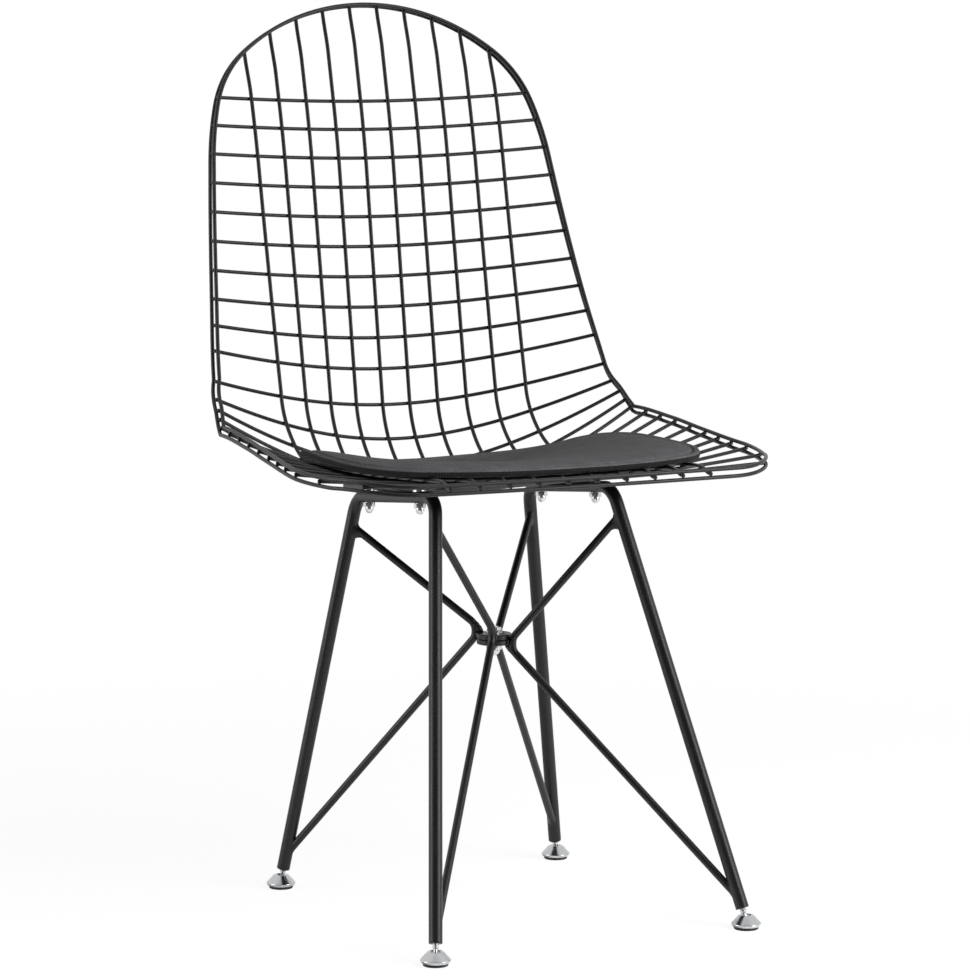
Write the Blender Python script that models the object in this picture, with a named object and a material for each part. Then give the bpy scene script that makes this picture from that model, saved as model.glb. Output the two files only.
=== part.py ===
"""Wire-shell dining chair on a bent-rod base, in metres, +Z up.

The chair faces -Y and is symmetrical about X = 0.  Its origin is on the floor, under the middle
of its outer box.  The shell is a double rim with two layers of wires whose ends are welded between
the rims.  A pair of flat rails under the shell is bolted to two bent leg frames, and four struts
tie the legs to a hub.  Each leg ends in a swivel glide on a threaded stud.
"""

from math import acos, cos, pi, radians, sin, sqrt, tan

import bmesh
import bpy
import numpy as np
from mathutils import Matrix, Vector

# Clearance kept between neighbouring solids
GAP = 0.0003

# Wire diameters
RIM_D = 0.0038
LONG_WIRE_D = 0.0038
CROSS_WIRE_D = 0.0036

# Side profile of the shell, from the front edge over the seat and up the back
FRONT_Y = -0.2195
FRONT_Z = 0.4310
FRONT_ROLL_R = 0.150
FRONT_RISE = radians(4.0)
SEAT_FALL = radians(9.0)
SEAT_RUN = 0.2566
BEND_R = 0.095
BACK_RISE = radians(81.4)
BACK_RUN = 0.224
FLARE_R = 0.900
TOP_RISE = radians(76.5)
TOP_STATION = 0.8378

# Cross-section of the shell: distance along the profile, dish and sweep of a cross wire there
DISH_WIDTH = 0.200
SECTIONS = (
    ("front edge", 0.000, 0.000, 0.012),
    ("thigh", 0.050, 0.028, 0.062),
    ("front seat", 0.160, 0.077, 0.042),
    ("middle seat", 0.215, 0.107, 0.034),
    ("rear seat", 0.315, 0.150, 0.024),
    ("hip", 0.370, 0.152, 0.034),
    ("lower back", 0.437, 0.113, 0.057),
    ("lumbar", 0.535, 0.077, 0.029),
    ("shoulder", 0.655, 0.038, 0.019),
    ("top edge", 0.835, 0.000, 0.014),
)

# Outline of the rim, as radii and tangent angles from the middle of the top edge round to the front
TOP_EDGE_R = 0.209
TOP_EDGE_END = radians(41.0)
CORNER_R = 0.118
CORNER_END = radians(73.0)
SHOULDER_R = 0.330
BACK_TAPER = radians(83.4)
HIP_STATION = 0.400
HIP_R = 0.500
SEAT_TAPER = radians(86.3)
FRONT_CORNER_R = 0.074

# Wire spacing: cross wires are counted from the top, and each group's pitch grows by a share per wire
LONG_WIRES = 10
LONG_PITCH = 0.030
TOP_ROW_STATION = 0.7401
BACK_ROWS = 10
BACK_PITCH_GROWTH = 0.011
BEND_TOP_STATION = 0.4723
BEND_ROWS = 6
BEND_PITCH_GROWTH = -0.021
SEAT_TOP_STATION = 0.2687
SEAT_ROWS = 9
FRONT_ROW_STATION = 0.0158
RAIL_ROWS = (14, 22)
WIRE_END_PAST_RIM = 0.0008
DIP_LENGTH = 0.013

# Mounting rails under the seat
RAIL_X = 0.0935
RAIL_WIDTH = 0.018
RAIL_THICKNESS = 0.0045
RAIL_PAST_FRONT_WIRE = 0.013
RAIL_PAST_REAR_WIRE = 0.007
WELD_SINK = 0.0006
BOSS_D = 0.0125
BOSS = 0.0018

# Leg frames
LEG_D = 0.0127
FRAME_BEND_R = 0.021
FRAME_FLAT = 0.0010
FLAT_MARGIN = 0.0010
FRONT_FOOT = (0.1642, -0.2435)
REAR_FOOT = (0.1538, 0.1223)
CORNER_FROM_FRONT_BOLT = 0.0336
CORNER_FROM_REAR_BOLT = 0.0262
LEG_END_Z = 0.0195

# Struts
STRUT_D = 0.0075
STRUT_BEND_R = 0.011
WELD_BEND_R = 0.007
WELD_RUN = 0.007
STRUT_TOP_Z = {"front": 0.3758, "rear": 0.357}
STRUT_LOW_Z = {"front": 0.047, "rear": 0.051}
# The left struts are welded to the upper hub plate and the right struts to the lower one
STRUT_VERTEX_RISE = {-1: 0.0065, 1: -0.004}
STRUT_BEARING = {"front": radians(-123.0), "rear": radians(126.0)}
STRUT_VERTEX_HEIGHT = 0.017

# Hub
HUB_Y = -0.0395
HUB_Z = 0.2593
HUB_D = 0.0334
HUB_PLATE = 0.0042
HUB_BOLT_D = 0.008
HUB_WASHER_D = 0.0160
HUB_WASHER = 0.0016
HUB_HEAD_D = 0.0130
HUB_HEAD = 0.0048
HUB_NUT_D = 0.0150
HUB_NUT = 0.0115
HUB_NUT_HEX = 0.0055

# Seat bolts and dome nuts
BOLT_D = 0.006
BOLT_HEAD_D = 0.0095
BOLT_HEAD = 0.0026
BOLT_HEAD_EDGE = 0.0013
BOLT_HEAD_FLAT_D = 0.0057
BOLT_BEHIND_ROW = {"rear": 15, "front": 19}
BOLT_FROM_ROW = {"rear": 0.0078, "front": 0.0078}
DOME_NUT_D = 0.0115
DOME_NUT = 0.0108
DOME_NUT_HEX = 0.0048
DOME_TO_NUT = 0.86
HOLE_CLEARANCE = 0.0003

# Swivel glides
BALL_Z = 0.0080
BALL_D = 0.0072
SOCKET_CLEARANCE = 0.0005
STUD_D = 0.0060
STUD_NECK_D = 0.0038
STUD_NECK = 0.0078
STUD_IN_LEG = 0.022
STUD_TRAVEL_IN = 0.003
CUP_D = 0.0286
CUP_TOP_D = 0.0130
CUP_TOP_Z = 0.0132
CUP_WIDEST_Z = 0.0052
CUP_BOTTOM_Z = 0.0026
CUP_MOUTH_D = 0.0104
CUP_BASE_D = 0.0257
CUP_ROUND_D = 0.0280
CUP_ROUND = 0.0008
CUP_BAND = 0.0008
CUP_LIP = 0.0005
THROAT_D = 0.0068
GLIDE_PAD_D = 0.0232

# Seat pad, in distances along the profile
PAD_HALF_WIDTH = 0.184
PAD_WIDEST = 0.140
PAD_FRONT = 0.018
PAD_BACK = 0.376
PAD_FRONT_SQUARENESS = 3.4
PAD_BACK_SQUARENESS = 2.3
PAD_EDGE = 0.0065
PAD_CROWN = 0.0130
PAD_CROWN_POWER = 2.5
PAD_SEAT_CLEARANCE = 0.0009

# Facets
WIRE_BEVEL = 1
TUBE_BEVEL = 2
ROUND_STEPS = 14
SMALL_STEPS = 10
PAD_STEPS = 40
PAD_UNDER_RINGS = (0.3, 0.55, 0.75, 0.88, 0.96)
PAD_SIDE_HEIGHTS = (0.35, 0.75)
PAD_TOP_RINGS = (0.97, 0.88, 0.75, 0.55, 0.3)
SHARP_ANGLE = radians(40.0)

LONG_LIFT = LONG_WIRE_D / 2 + GAP / 2
CROSS_LIFT = -(CROSS_WIRE_D / 2 + GAP / 2)
UPPER_RIM_LIFT = CROSS_LIFT + LONG_WIRE_D / 2 + RIM_D / 2 + GAP
LOWER_RIM_LIFT = CROSS_LIFT - LONG_WIRE_D / 2 - RIM_D / 2 - GAP
LEG_R = LEG_D / 2
STRUT_R = STRUT_D / 2


def clear_scene():
    for item in list(bpy.data.objects):
        bpy.data.objects.remove(item, do_unlink=True)


def finish(name, colour, roughness, metallic):
    """One Principled material."""
    material = bpy.data.materials.new(name)
    material.use_nodes = True
    shader = material.node_tree.nodes["Principled BSDF"]
    shader.inputs["Base Color"].default_value = (*colour, 1.0)
    shader.inputs["Roughness"].default_value = roughness
    shader.inputs["Metallic"].default_value = metallic
    return material


# Surface of the shell

def profile_runs():
    """Runs of the side profile: signed radius (None when straight), length."""
    return (
        (-FRONT_ROLL_R, FRONT_ROLL_R * (FRONT_RISE + SEAT_FALL)),
        (None, SEAT_RUN),
        (BEND_R, BEND_R * (SEAT_FALL + BACK_RISE)),
        (None, BACK_RUN),
        (-FLARE_R, FLARE_R * (BACK_RISE - TOP_RISE)),
        (None, TOP_STATION),
    )


def profile(station):
    """Y, Z and heading of the side profile at a distance from the front edge."""
    y, z, heading = FRONT_Y, FRONT_Z, FRONT_RISE
    if station <= 0.0:
        return y + station * cos(heading), z + station * sin(heading), heading
    for radius, length in profile_runs():
        step = min(station, length)
        if radius is None:
            y += step * cos(heading)
            z += step * sin(heading)
        else:
            turned = heading + step / radius
            y += radius * (sin(turned) - sin(heading))
            z += radius * (cos(heading) - cos(turned))
            heading = turned
        station -= step
        if station <= 0.0:
            break
    return y, z, heading


def section(station, column):
    """Smooth cubic through one column of SECTIONS."""
    places = np.array([row[1] for row in SECTIONS])
    values = np.array([row[column] for row in SECTIONS])
    slopes = np.gradient(values, places)
    station = min(max(station, places[0]), places[-1])
    i = min(max(int(np.searchsorted(places, station)) - 1, 0), len(places) - 2)
    span = places[i + 1] - places[i]
    u = (station - places[i]) / span
    return float(
        (2 * u**3 - 3 * u**2 + 1) * values[i]
        + (u**3 - 2 * u**2 + u) * span * slopes[i]
        + (3 * u**2 - 2 * u**3) * values[i + 1]
        + (u**3 - u**2) * span * slopes[i + 1]
    )


def surface(x, station):
    """Point between the two wire layers: each cross wire rises as a hyperbola from the profile."""
    y, z, heading = profile(station)
    rise = sqrt(1.0 + (x / DISH_WIDTH) ** 2) - 1.0
    dish = rise * section(station, 2)
    sweep = rise * section(station, 3)
    return Vector((
        x,
        y - dish * sin(heading) + sweep * cos(heading),
        z + dish * cos(heading) + sweep * sin(heading),
    ))


def lifted(x, station, lift):
    """Point at a height over the surface, on the sitter's side where positive."""
    step = 0.0005
    across = surface(x + step, station) - surface(x - step, station)
    along = surface(x, station + step) - surface(x, station - step)
    return surface(x, station) + lift * across.cross(along).normalized()


def rim_outline():
    """Half outline of the shell as (x, station), middle of the top edge to middle of the front."""
    points = [(0.0, TOP_STATION)]
    x, station, angle = 0.0, TOP_STATION, 0.0

    def arc(radius, end, steps):
        nonlocal x, station, angle
        x0, station0, angle0 = x, station, angle
        for k in range(1, steps + 1):
            angle = angle0 + (end - angle0) * k / steps
            x = x0 + radius * (sin(angle) - sin(angle0))
            station = station0 + radius * (cos(angle) - cos(angle0))
            points.append((x, station))

    def straight(to_station):
        nonlocal x, station
        x += (station - to_station) / tan(angle)
        station = to_station
        points.append((x, station))

    arc(TOP_EDGE_R, TOP_EDGE_END, 5)
    arc(CORNER_R, CORNER_END, 4)
    arc(SHOULDER_R, BACK_TAPER, 2)
    straight(HIP_STATION)
    arc(HIP_R, SEAT_TAPER, 2)
    straight(FRONT_CORNER_R * (1.0 + cos(SEAT_TAPER)))
    arc(FRONT_CORNER_R, pi, 8)
    points.append((0.0, station))
    return points


def with_knots(points):
    """The outline with a point added at the end of every wire and between wires in the bend."""
    bend = ROWS[BACK_ROWS - 1 : BACK_ROWS + BEND_ROWS]
    stations = ROWS + [(a + b) / 2 for a, b in zip(bend, bend[1:])]
    full = [points[0]]
    for a, b in zip(points, points[1:]):
        shares = [(x - a[0]) / (b[0] - a[0]) for x in COLUMNS if abs(b[0] - a[0]) > 1e-9]
        shares = shares if abs(b[0] - a[0]) > abs(b[1] - a[1]) else []
        shares += [(v - a[1]) / (b[1] - a[1]) for v in stations if abs(b[1] - a[1]) > 1e-9]
        inner = sorted(u for u in shares if 0.02 < u < 0.98)
        full += [(a[0] + u * (b[0] - a[0]), a[1] + u * (b[1] - a[1])) for u in inner]
        full.append(b)
    return full


def crossing(points, value, axis):
    """Other coordinate where an outline first reaches a value on one axis."""
    for a, b in zip(points, points[1:]):
        low, high = sorted((a[axis], b[axis]))
        if low <= value <= high and high > low:
            u = (value - a[axis]) / (b[axis] - a[axis])
            return a[1 - axis] + u * (b[1 - axis] - a[1 - axis])
    raise ValueError("the outline does not reach this value")


def row_stations():
    """Distance of each cross wire from the front edge, the top one first."""
    stations = [TOP_ROW_STATION]
    groups = (
        (BEND_TOP_STATION, BACK_ROWS - 1, BACK_PITCH_GROWTH),
        (SEAT_TOP_STATION, BEND_ROWS, BEND_PITCH_GROWTH),
        (FRONT_ROW_STATION, SEAT_ROWS, 0.0),
    )
    for last, count, growth in groups:
        first = stations[-1]
        shares = [k + growth * k * (k - 1) / 2 for k in range(1, count + 1)]
        stations += [first + (last - first) * share / shares[-1] for share in shares]
    return stations


ROWS = row_stations()
COLUMNS = [(k - (LONG_WIRES - 1) / 2) * LONG_PITCH for k in range(LONG_WIRES)]
OUTLINE = with_knots(rim_outline())
WIDEST = max(range(len(OUTLINE)), key=lambda i: OUTLINE[i][0])


# Solids

def link(name, data, material):
    item = bpy.data.objects.new(name, data)
    data.materials.append(material)
    bpy.context.scene.collection.objects.link(item)
    return item


def tube(name, points, diameter, bevel, material, closed=False):
    """Round bar along a list of points."""
    curve = bpy.data.curves.new(name, "CURVE")
    curve.dimensions = "3D"
    curve.twist_mode = "MINIMUM"
    curve.bevel_depth = diameter / 2
    curve.bevel_resolution = round(bevel)
    curve.use_fill_caps = True
    spline = curve.splines.new("POLY")
    spline.points.add(len(points) - 1)
    for knot, place in zip(spline.points, points):
        knot.co = (*place, 1.0)
    spline.use_cyclic_u = closed
    return link(name, curve, material)


def as_mesh(item):
    """The same object with its curve turned into a mesh, so that it can be cut."""
    graph = bpy.context.evaluated_depsgraph_get()
    mesh = bpy.data.meshes.new_from_object(item.evaluated_get(graph))
    name = item.name
    material = item.data.materials[0]
    bpy.data.objects.remove(item, do_unlink=True)
    mesh.materials.clear()
    return link(name, mesh, material)


def turned(name, outline, steps, material):
    """Solid of revolution about Z from (radius, height) pairs, first and last on the axis."""
    mesh = bmesh.new()
    steps = round(steps)
    rings = []
    for radius, height in outline:
        if radius < 1e-9:
            rings.append([mesh.verts.new((0.0, 0.0, height))])
        else:
            turn = [2 * pi * (k + 0.5) / steps for k in range(steps)]
            rings.append([mesh.verts.new((radius * cos(a), radius * sin(a), height)) for a in turn])
    for lower, upper in zip(rings, rings[1:]):
        for k in range(steps):
            corners = [lower[k % len(lower)], lower[(k + 1) % len(lower)]]
            corners += [upper[(k + 1) % len(upper)], upper[k % len(upper)]]
            mesh.faces.new(list(dict.fromkeys(corners)))
    return from_bmesh(name, mesh, material)


def from_bmesh(name, mesh, material):
    bmesh.ops.recalc_face_normals(mesh, faces=mesh.faces)
    data = bpy.data.meshes.new(name)
    mesh.to_mesh(data)
    mesh.free()
    return link(name, data, material)


def place(item, origin, axis):
    """Stand an object's Z axis along a direction at a point."""
    turn = Vector((0.0, 0.0, 1.0)).rotation_difference(axis)
    item.matrix_world = Matrix.Translation(origin) @ turn.to_matrix().to_4x4()


def cut(item, cutter, operation="DIFFERENCE"):
    """Boolean with an object that is then hidden."""
    step = item.modifiers.new(cutter.name, "BOOLEAN")
    step.operation = operation
    step.solver = "EXACT"
    step.object = cutter
    cutter.hide_render = True
    cutter.display_type = "WIRE"


def drill(item, origin, axis, diameter, depth, material):
    """Round hole from a point along a direction."""
    radius = diameter / 2
    outline = [(0.0, 0.0), (radius, 0.0), (radius, depth), (0.0, depth)]
    cutter = turned(item.name + ".hole", outline, SMALL_STEPS, material)
    place(cutter, origin, axis)
    cut(item, cutter)


def rounded(points, radii, steps):
    """Polyline whose inner corners become arcs of the given radii."""
    path = [points[0]]
    for before, corner, after, radius in zip(points, points[1:], points[2:], radii):
        back = (before - corner).normalized()
        ahead = (after - corner).normalized()
        half = acos(max(-1.0, min(1.0, back.dot(ahead)))) / 2
        reach = radius / tan(half)
        centre = corner + (back + ahead).normalized() * radius / sin(half)
        start = corner + back * reach - centre
        turn = pi - 2 * half
        square = (corner + ahead * reach - centre) - start * cos(turn)
        square = square.normalized() * radius
        for k in range(steps + 1):
            angle = turn * k / steps
            path.append(centre + start * cos(angle) + square * sin(angle))
    path.append(points[-1])
    return path


# Shell

def build_rim(name, lift, material):
    half = [lifted(x, station, lift) for x, station in OUTLINE]
    other = [Vector((-p.x, p.y, p.z)) for p in half[-2:0:-1]]
    return tube(name, half + other, RIM_D, WIRE_BEVEL, material, closed=True)


def cross_wire_points(station, end_lift=CROSS_LIFT):
    """Cross wire from rim to rim, with a point under each long wire."""
    end = crossing(OUTLINE[WIDEST:], station, 1) if station < OUTLINE[WIDEST][1] else 0.0
    end = end or crossing(OUTLINE[: WIDEST + 1], station, 1)
    end += WIRE_END_PAST_RIM
    edge = COLUMNS[-1]
    outer = [edge + (end - edge) * 0.5, end]
    across = [-x for x in reversed(outer)] + COLUMNS + outer
    lifts = [end_lift] + [CROSS_LIFT] * (len(across) - 2) + [end_lift]
    return [lifted(x, station, lift) for x, lift in zip(across, lifts)]


def long_wire_points(x):
    """Long wire over the rows, dipping at each end to lie between the rims."""
    top = crossing(OUTLINE, abs(x), 0)
    first_bend_row = BACK_ROWS - 1
    last_bend_row = BACK_ROWS + BEND_ROWS - 1
    knots = [(-WIRE_END_PAST_RIM, CROSS_LIFT), (ROWS[-1] - DIP_LENGTH, CROSS_LIFT)]
    knots.append((ROWS[-1] - GAP, LONG_LIFT))
    for k in range(len(ROWS) - 1, -1, -1):
        knots.append((ROWS[k], LONG_LIFT))
        if first_bend_row < k <= last_bend_row:
            knots.append(((ROWS[k] + ROWS[k - 1]) / 2, LONG_LIFT))
    knots += [(top - 2 * DIP_LENGTH, LONG_LIFT), (top - DIP_LENGTH / 2, CROSS_LIFT)]
    knots.append((top + WIRE_END_PAST_RIM, CROSS_LIFT))
    return [lifted(x, station, lift) for station, lift in knots]


def rail_frame():
    """Origin, length axis and up axis of the right rail's top face, under the seat wires."""
    wires = [lifted(RAIL_X, ROWS[k], CROSS_LIFT) for k in (RAIL_ROWS[0], RAIL_ROWS[1] - 1)]
    along = (wires[1] - wires[0])
    along.x = 0.0
    along.normalize()
    up = Vector((1.0, 0.0, 0.0)).cross(along)
    up = up if up.z > 0 else -up
    base = wires[0] - up * (CROSS_WIRE_D / 2 - WELD_SINK)
    base.x = RAIL_X
    return base, along, up


RAIL_ORIGIN, RAIL_ALONG, RAIL_UP = rail_frame()


def on_rail(y, drop, side):
    """Point on the rail's middle line at a Y, a distance under its top face."""
    point = RAIL_ORIGIN + RAIL_ALONG * (y - RAIL_ORIGIN.y) / RAIL_ALONG.y
    point = point - RAIL_UP * drop
    return Vector((side * RAIL_X, point.y, point.z))


def bolt_y(end):
    """Y of a bolt, measured forward from a seat wire so that its head stays clear of the wire."""
    return lifted(RAIL_X, ROWS[BOLT_BEHIND_ROW[end]], CROSS_LIFT).y - BOLT_FROM_ROW[end]


BOLT_Y = {end: bolt_y(end) for end in BOLT_BEHIND_ROW}
FRONT_CORNER_Y = BOLT_Y["front"] - CORNER_FROM_FRONT_BOLT
REAR_CORNER_Y = BOLT_Y["rear"] + CORNER_FROM_REAR_BOLT
FRAME_AXIS_DROP = RAIL_THICKNESS + BOSS + GAP + LEG_R - FRAME_FLAT


def build_rail(name, side, material):
    """Flat bar with round ends, and a round boss under it at each bolt."""
    steps = 6
    radius = RAIL_WIDTH / 2
    rear, front = [lifted(RAIL_X, ROWS[k], CROSS_LIFT).y for k in (RAIL_ROWS[0], RAIL_ROWS[1] - 1)]
    front -= RAIL_PAST_FRONT_WIRE - radius
    rear += RAIL_PAST_REAR_WIRE - radius
    across = Vector((1.0, 0.0, 0.0))
    rearward = Vector((0.0, 1.0, 0.0))
    outline = []
    for y, start in ((front, pi), (rear, 0.0)):
        centre = on_rail(y, 0.0, side)
        for k in range(steps + 1):
            angle = start + pi * k / steps
            outline.append(centre + radius * (across * cos(angle) + rearward * sin(angle)))
    mesh = bmesh.new()
    top = [mesh.verts.new(on_rail(p.y, 0.0, side) + across * (p.x - side * RAIL_X)) for p in outline]
    low = [mesh.verts.new(v.co - RAIL_UP * RAIL_THICKNESS) for v in top]
    mesh.faces.new(top)
    mesh.faces.new(low[::-1])
    for k in range(len(top)):
        nxt = (k + 1) % len(top)
        mesh.faces.new((top[k], low[k], low[nxt], top[nxt]))
    rail = from_bmesh(name, mesh, material)
    for end, y in BOLT_Y.items():
        middle = RAIL_THICKNESS / 2
        outline = [(0.0, 0.0), (BOSS_D / 2, 0.0), (BOSS_D / 2, middle + BOSS), (0.0, middle + BOSS)]
        boss = turned(f"{name}.boss_{end}", outline, ROUND_STEPS, material)
        place(boss, on_rail(y, middle, side), -RAIL_UP)
        cut(rail, boss, "UNION")
        drill(rail, on_rail(y, -RAIL_THICKNESS, side), -RAIL_UP, BOLT_D + 2 * HOLE_CLEARANCE,
              3 * RAIL_THICKNESS, material)
    return rail


def build_shell(black):
    build_rim("rim_upper", UPPER_RIM_LIFT, black)
    rim = as_mesh(build_rim("rim_lower", LOWER_RIM_LIFT, black))
    welded = LOWER_RIM_LIFT + (RIM_D + CROSS_WIRE_D) / 2 - WELD_SINK
    front_points = cross_wire_points(ROWS[-1], welded)
    front_wire = tube("rim_lower.front_wire", front_points, CROSS_WIRE_D, WIRE_BEVEL, black)
    cut(rim, as_mesh(front_wire), "UNION")
    for k, x in enumerate(COLUMNS):
        tube(f"long_wire_{k + 1:02d}", long_wire_points(x), LONG_WIRE_D, WIRE_BEVEL, black)
    cradle = build_rail("seat_cradle", 1, black)
    cut(cradle, build_rail("seat_cradle.left_rail", -1, black), "UNION")
    for k, station in enumerate(ROWS[:-1]):
        on_rails = RAIL_ROWS[0] <= k < RAIL_ROWS[1]
        name = ("seat_cradle.wire_" if on_rails else "cross_wire_") + f"{k + 1:02d}"
        wire = tube(name, cross_wire_points(station), CROSS_WIRE_D, WIRE_BEVEL, black)
        if on_rails:
            cut(cradle, as_mesh(wire), "UNION")


# Base

def leg_line(end, side):
    """Foot and top corner of a leg's axis."""
    foot = FRONT_FOOT if end == "front" else REAR_FOOT
    corner = on_rail(FRONT_CORNER_Y if end == "front" else REAR_CORNER_Y, FRAME_AXIS_DROP, side)
    return Vector((side * foot[0], foot[1], 0.0)), corner


def leg_point(end, side, z):
    foot, corner = leg_line(end, side)
    return foot + (corner - foot) * (z / corner.z)


def leg_down(end, side):
    foot, corner = leg_line(end, side)
    return (foot - corner).normalized()


def build_frame(name, side, black):
    """Two legs and the run between them, flattened where the rail and the nuts bear."""
    corners = [leg_point("front", side, LEG_END_Z), leg_line("front", side)[1]]
    corners += [leg_line("rear", side)[1], leg_point("rear", side, LEG_END_Z)]
    path = rounded(corners, (FRAME_BEND_R, FRAME_BEND_R), 5)
    frame = as_mesh(tube(name, path, LEG_D, TUBE_BEVEL, black))
    reach = LEG_R - FRAME_FLAT
    block = 3 * FRAME_BEND_R
    nut_reach = DOME_NUT_D / 2 + FLAT_MARGIN
    spans = {1.0: (FRONT_CORNER_Y, REAR_CORNER_Y)}
    spans[-1.0] = (BOLT_Y["front"] - nut_reach, BOLT_Y["rear"] + nut_reach)
    for up, (front, rear) in spans.items():
        middle = on_rail((front + rear) / 2, FRAME_AXIS_DROP, side)
        flat = bmesh.new()
        bmesh.ops.create_cube(flat, size=1.0)
        cutter = from_bmesh(f"{name}.flat_{up:+.0f}", flat, black)
        place(cutter, middle + RAIL_UP * up * (reach + block / 2), RAIL_UP)
        cutter.matrix_world = cutter.matrix_world @ Matrix.Diagonal((block, rear - front, block, 1.0))
        cut(frame, cutter)
    for y in BOLT_Y.values():
        drill(frame, on_rail(y, 0.0, side), -RAIL_UP, BOLT_D + 2 * HOLE_CLEARANCE, 3 * LEG_D, black)
    for end in ("front", "rear"):
        down = leg_down(end, side)
        mouth = leg_point(end, side, LEG_END_Z) + down * LEG_R
        depth = STUD_IN_LEG + STUD_TRAVEL_IN + LEG_R + 2 * GAP
        drill(frame, mouth, -down, STUD_D + 2 * HOLE_CLEARANCE, depth, black)
    return frame


def strut_points(end, side):
    """Strut from the top of a leg to the hub and back to the foot of the leg."""
    bearing = STRUT_BEARING[end]
    reach = HUB_D / 2 + STRUT_R + GAP
    hub = Vector((side * abs(reach * cos(bearing)), HUB_Y + reach * sin(bearing), HUB_Z))
    hub.z += STRUT_VERTEX_RISE[side]
    rise = Vector((0.0, 0.0, STRUT_VERTEX_HEIGHT / 2))
    down = leg_down(end, side)
    points = []
    for z, run in ((STRUT_TOP_Z[end], -1.0), (STRUT_LOW_Z[end], 1.0)):
        weld = leg_point(end, side, z)
        inward = hub - weld
        inward = (inward - down * inward.dot(down)).normalized()
        beside = weld + inward * (LEG_R + STRUT_R + GAP)
        points.append((beside, beside + down * run * WELD_RUN))
    (upper, upper_end), (lower, lower_end) = points
    corners = [upper_end, upper, hub + rise, hub - rise, lower, lower_end]
    return rounded(corners, (WELD_BEND_R, STRUT_BEND_R, STRUT_BEND_R, WELD_BEND_R), 3)


def hex_outline(across, height, round_height):
    """Profile of a nut or bolt head whose far end is domed."""
    radius = across / 2
    dome = [(radius * DOME_TO_NUT * cos(a), height + round_height * sin(a)) for a in (0.0, pi / 6, pi / 3)]
    return [(radius, 0.0), (radius, height)] + dome + [(0.0, height + round_height)]


def build_hub(black, chrome):
    centre = Vector((0.0, HUB_Y, HUB_Z))
    radius = HUB_D / 2
    bore = HUB_BOLT_D / 2 + HOLE_CLEARANCE
    up = Vector((0.0, 0.0, 1.0))
    for name, low in (("hub_plate_upper", GAP / 2), ("hub_plate_lower", -GAP / 2 - HUB_PLATE)):
        outline = [(0.0, low), (radius, low), (radius, low + HUB_PLATE), (0.0, low + HUB_PLATE)]
        plate = turned(name, outline, 2 * SMALL_STEPS, black)
        place(plate, centre, up)
        drill(plate, centre - up * radius, up, 2 * bore, 2 * radius, black)
    seat = HUB_PLATE + 1.5 * GAP
    washer = HUB_WASHER_D / 2
    head = hex_outline(HUB_HEAD_D, HUB_HEAD / 2, HUB_HEAD / 2)
    shank_end = -seat - HUB_NUT_HEX
    outline = [(0.0, shank_end), (HUB_BOLT_D / 2, shank_end), (HUB_BOLT_D / 2, seat), (washer, seat)]
    outline += [(washer, seat + HUB_WASHER)] + [(r, seat + HUB_WASHER + h) for r, h in head]
    bolt = turned("hub_bolt", outline, SMALL_STEPS, chrome)
    place(bolt, centre, up)
    build_nut("hub_nut", centre - up * seat, -up, HUB_NUT_D, HUB_NUT_HEX, HUB_NUT, HUB_BOLT_D, chrome)


def build_nut(name, origin, axis, across, hex_height, height, bolt, chrome):
    """Dome nut with a blind bore; its flat face is at the origin."""
    bore = bolt / 2 + HOLE_CLEARANCE
    depth = hex_height + 2 * GAP
    outline = [(0.0, depth), (bore, depth), (bore, 0.0)]
    outline += hex_outline(across, hex_height, height - hex_height)
    nut = turned(name, outline, SMALL_STEPS, chrome)
    place(nut, origin, axis)


def build_base(black, chrome):
    for side, hand in ((-1, "left"), (1, "right")):
        build_frame(f"leg_frame_{hand}", side, black)
        for end in ("front", "rear"):
            name = f"{end}_{hand}"
            tube(f"strut_{name}", strut_points(end, side), STRUT_D, TUBE_BEVEL, black)
            build_seat_bolt(name, BOLT_Y[end], side, chrome)


def build_seat_bolt(name, y, side, chrome):
    """Bolt through rail and frame, with a dome nut under the frame."""
    stack = FRAME_AXIS_DROP + LEG_R - FRAME_FLAT
    shank_end = -stack - GAP - DOME_NUT_HEX
    outline = [(0.0, shank_end), (BOLT_D / 2, shank_end), (BOLT_D / 2, GAP), (BOLT_HEAD_D / 2, GAP)]
    outline += [(BOLT_HEAD_D / 2, GAP + BOLT_HEAD_EDGE), (BOLT_HEAD_FLAT_D / 2, GAP + BOLT_HEAD)]
    outline += [(0.0, GAP + BOLT_HEAD)]
    bolt = turned(f"seat_bolt_{name}", outline, SMALL_STEPS, chrome)
    place(bolt, on_rail(y, 0.0, side), RAIL_UP)
    nut_seat = on_rail(y, stack + GAP, side)
    build_nut(f"dome_nut_{name}", nut_seat, -RAIL_UP, DOME_NUT_D, DOME_NUT_HEX, DOME_NUT, BOLT_D, chrome)


# Glides

def ball_outline(radius, start, end, steps):
    """Arc of a sphere about the origin, from one height to another."""
    first = acos(-start / radius)
    last = acos(-end / radius)
    arc = [first + (last - first) * k / steps for k in range(steps + 1)]
    return [(radius * sin(a), -radius * cos(a)) for a in arc]


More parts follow.
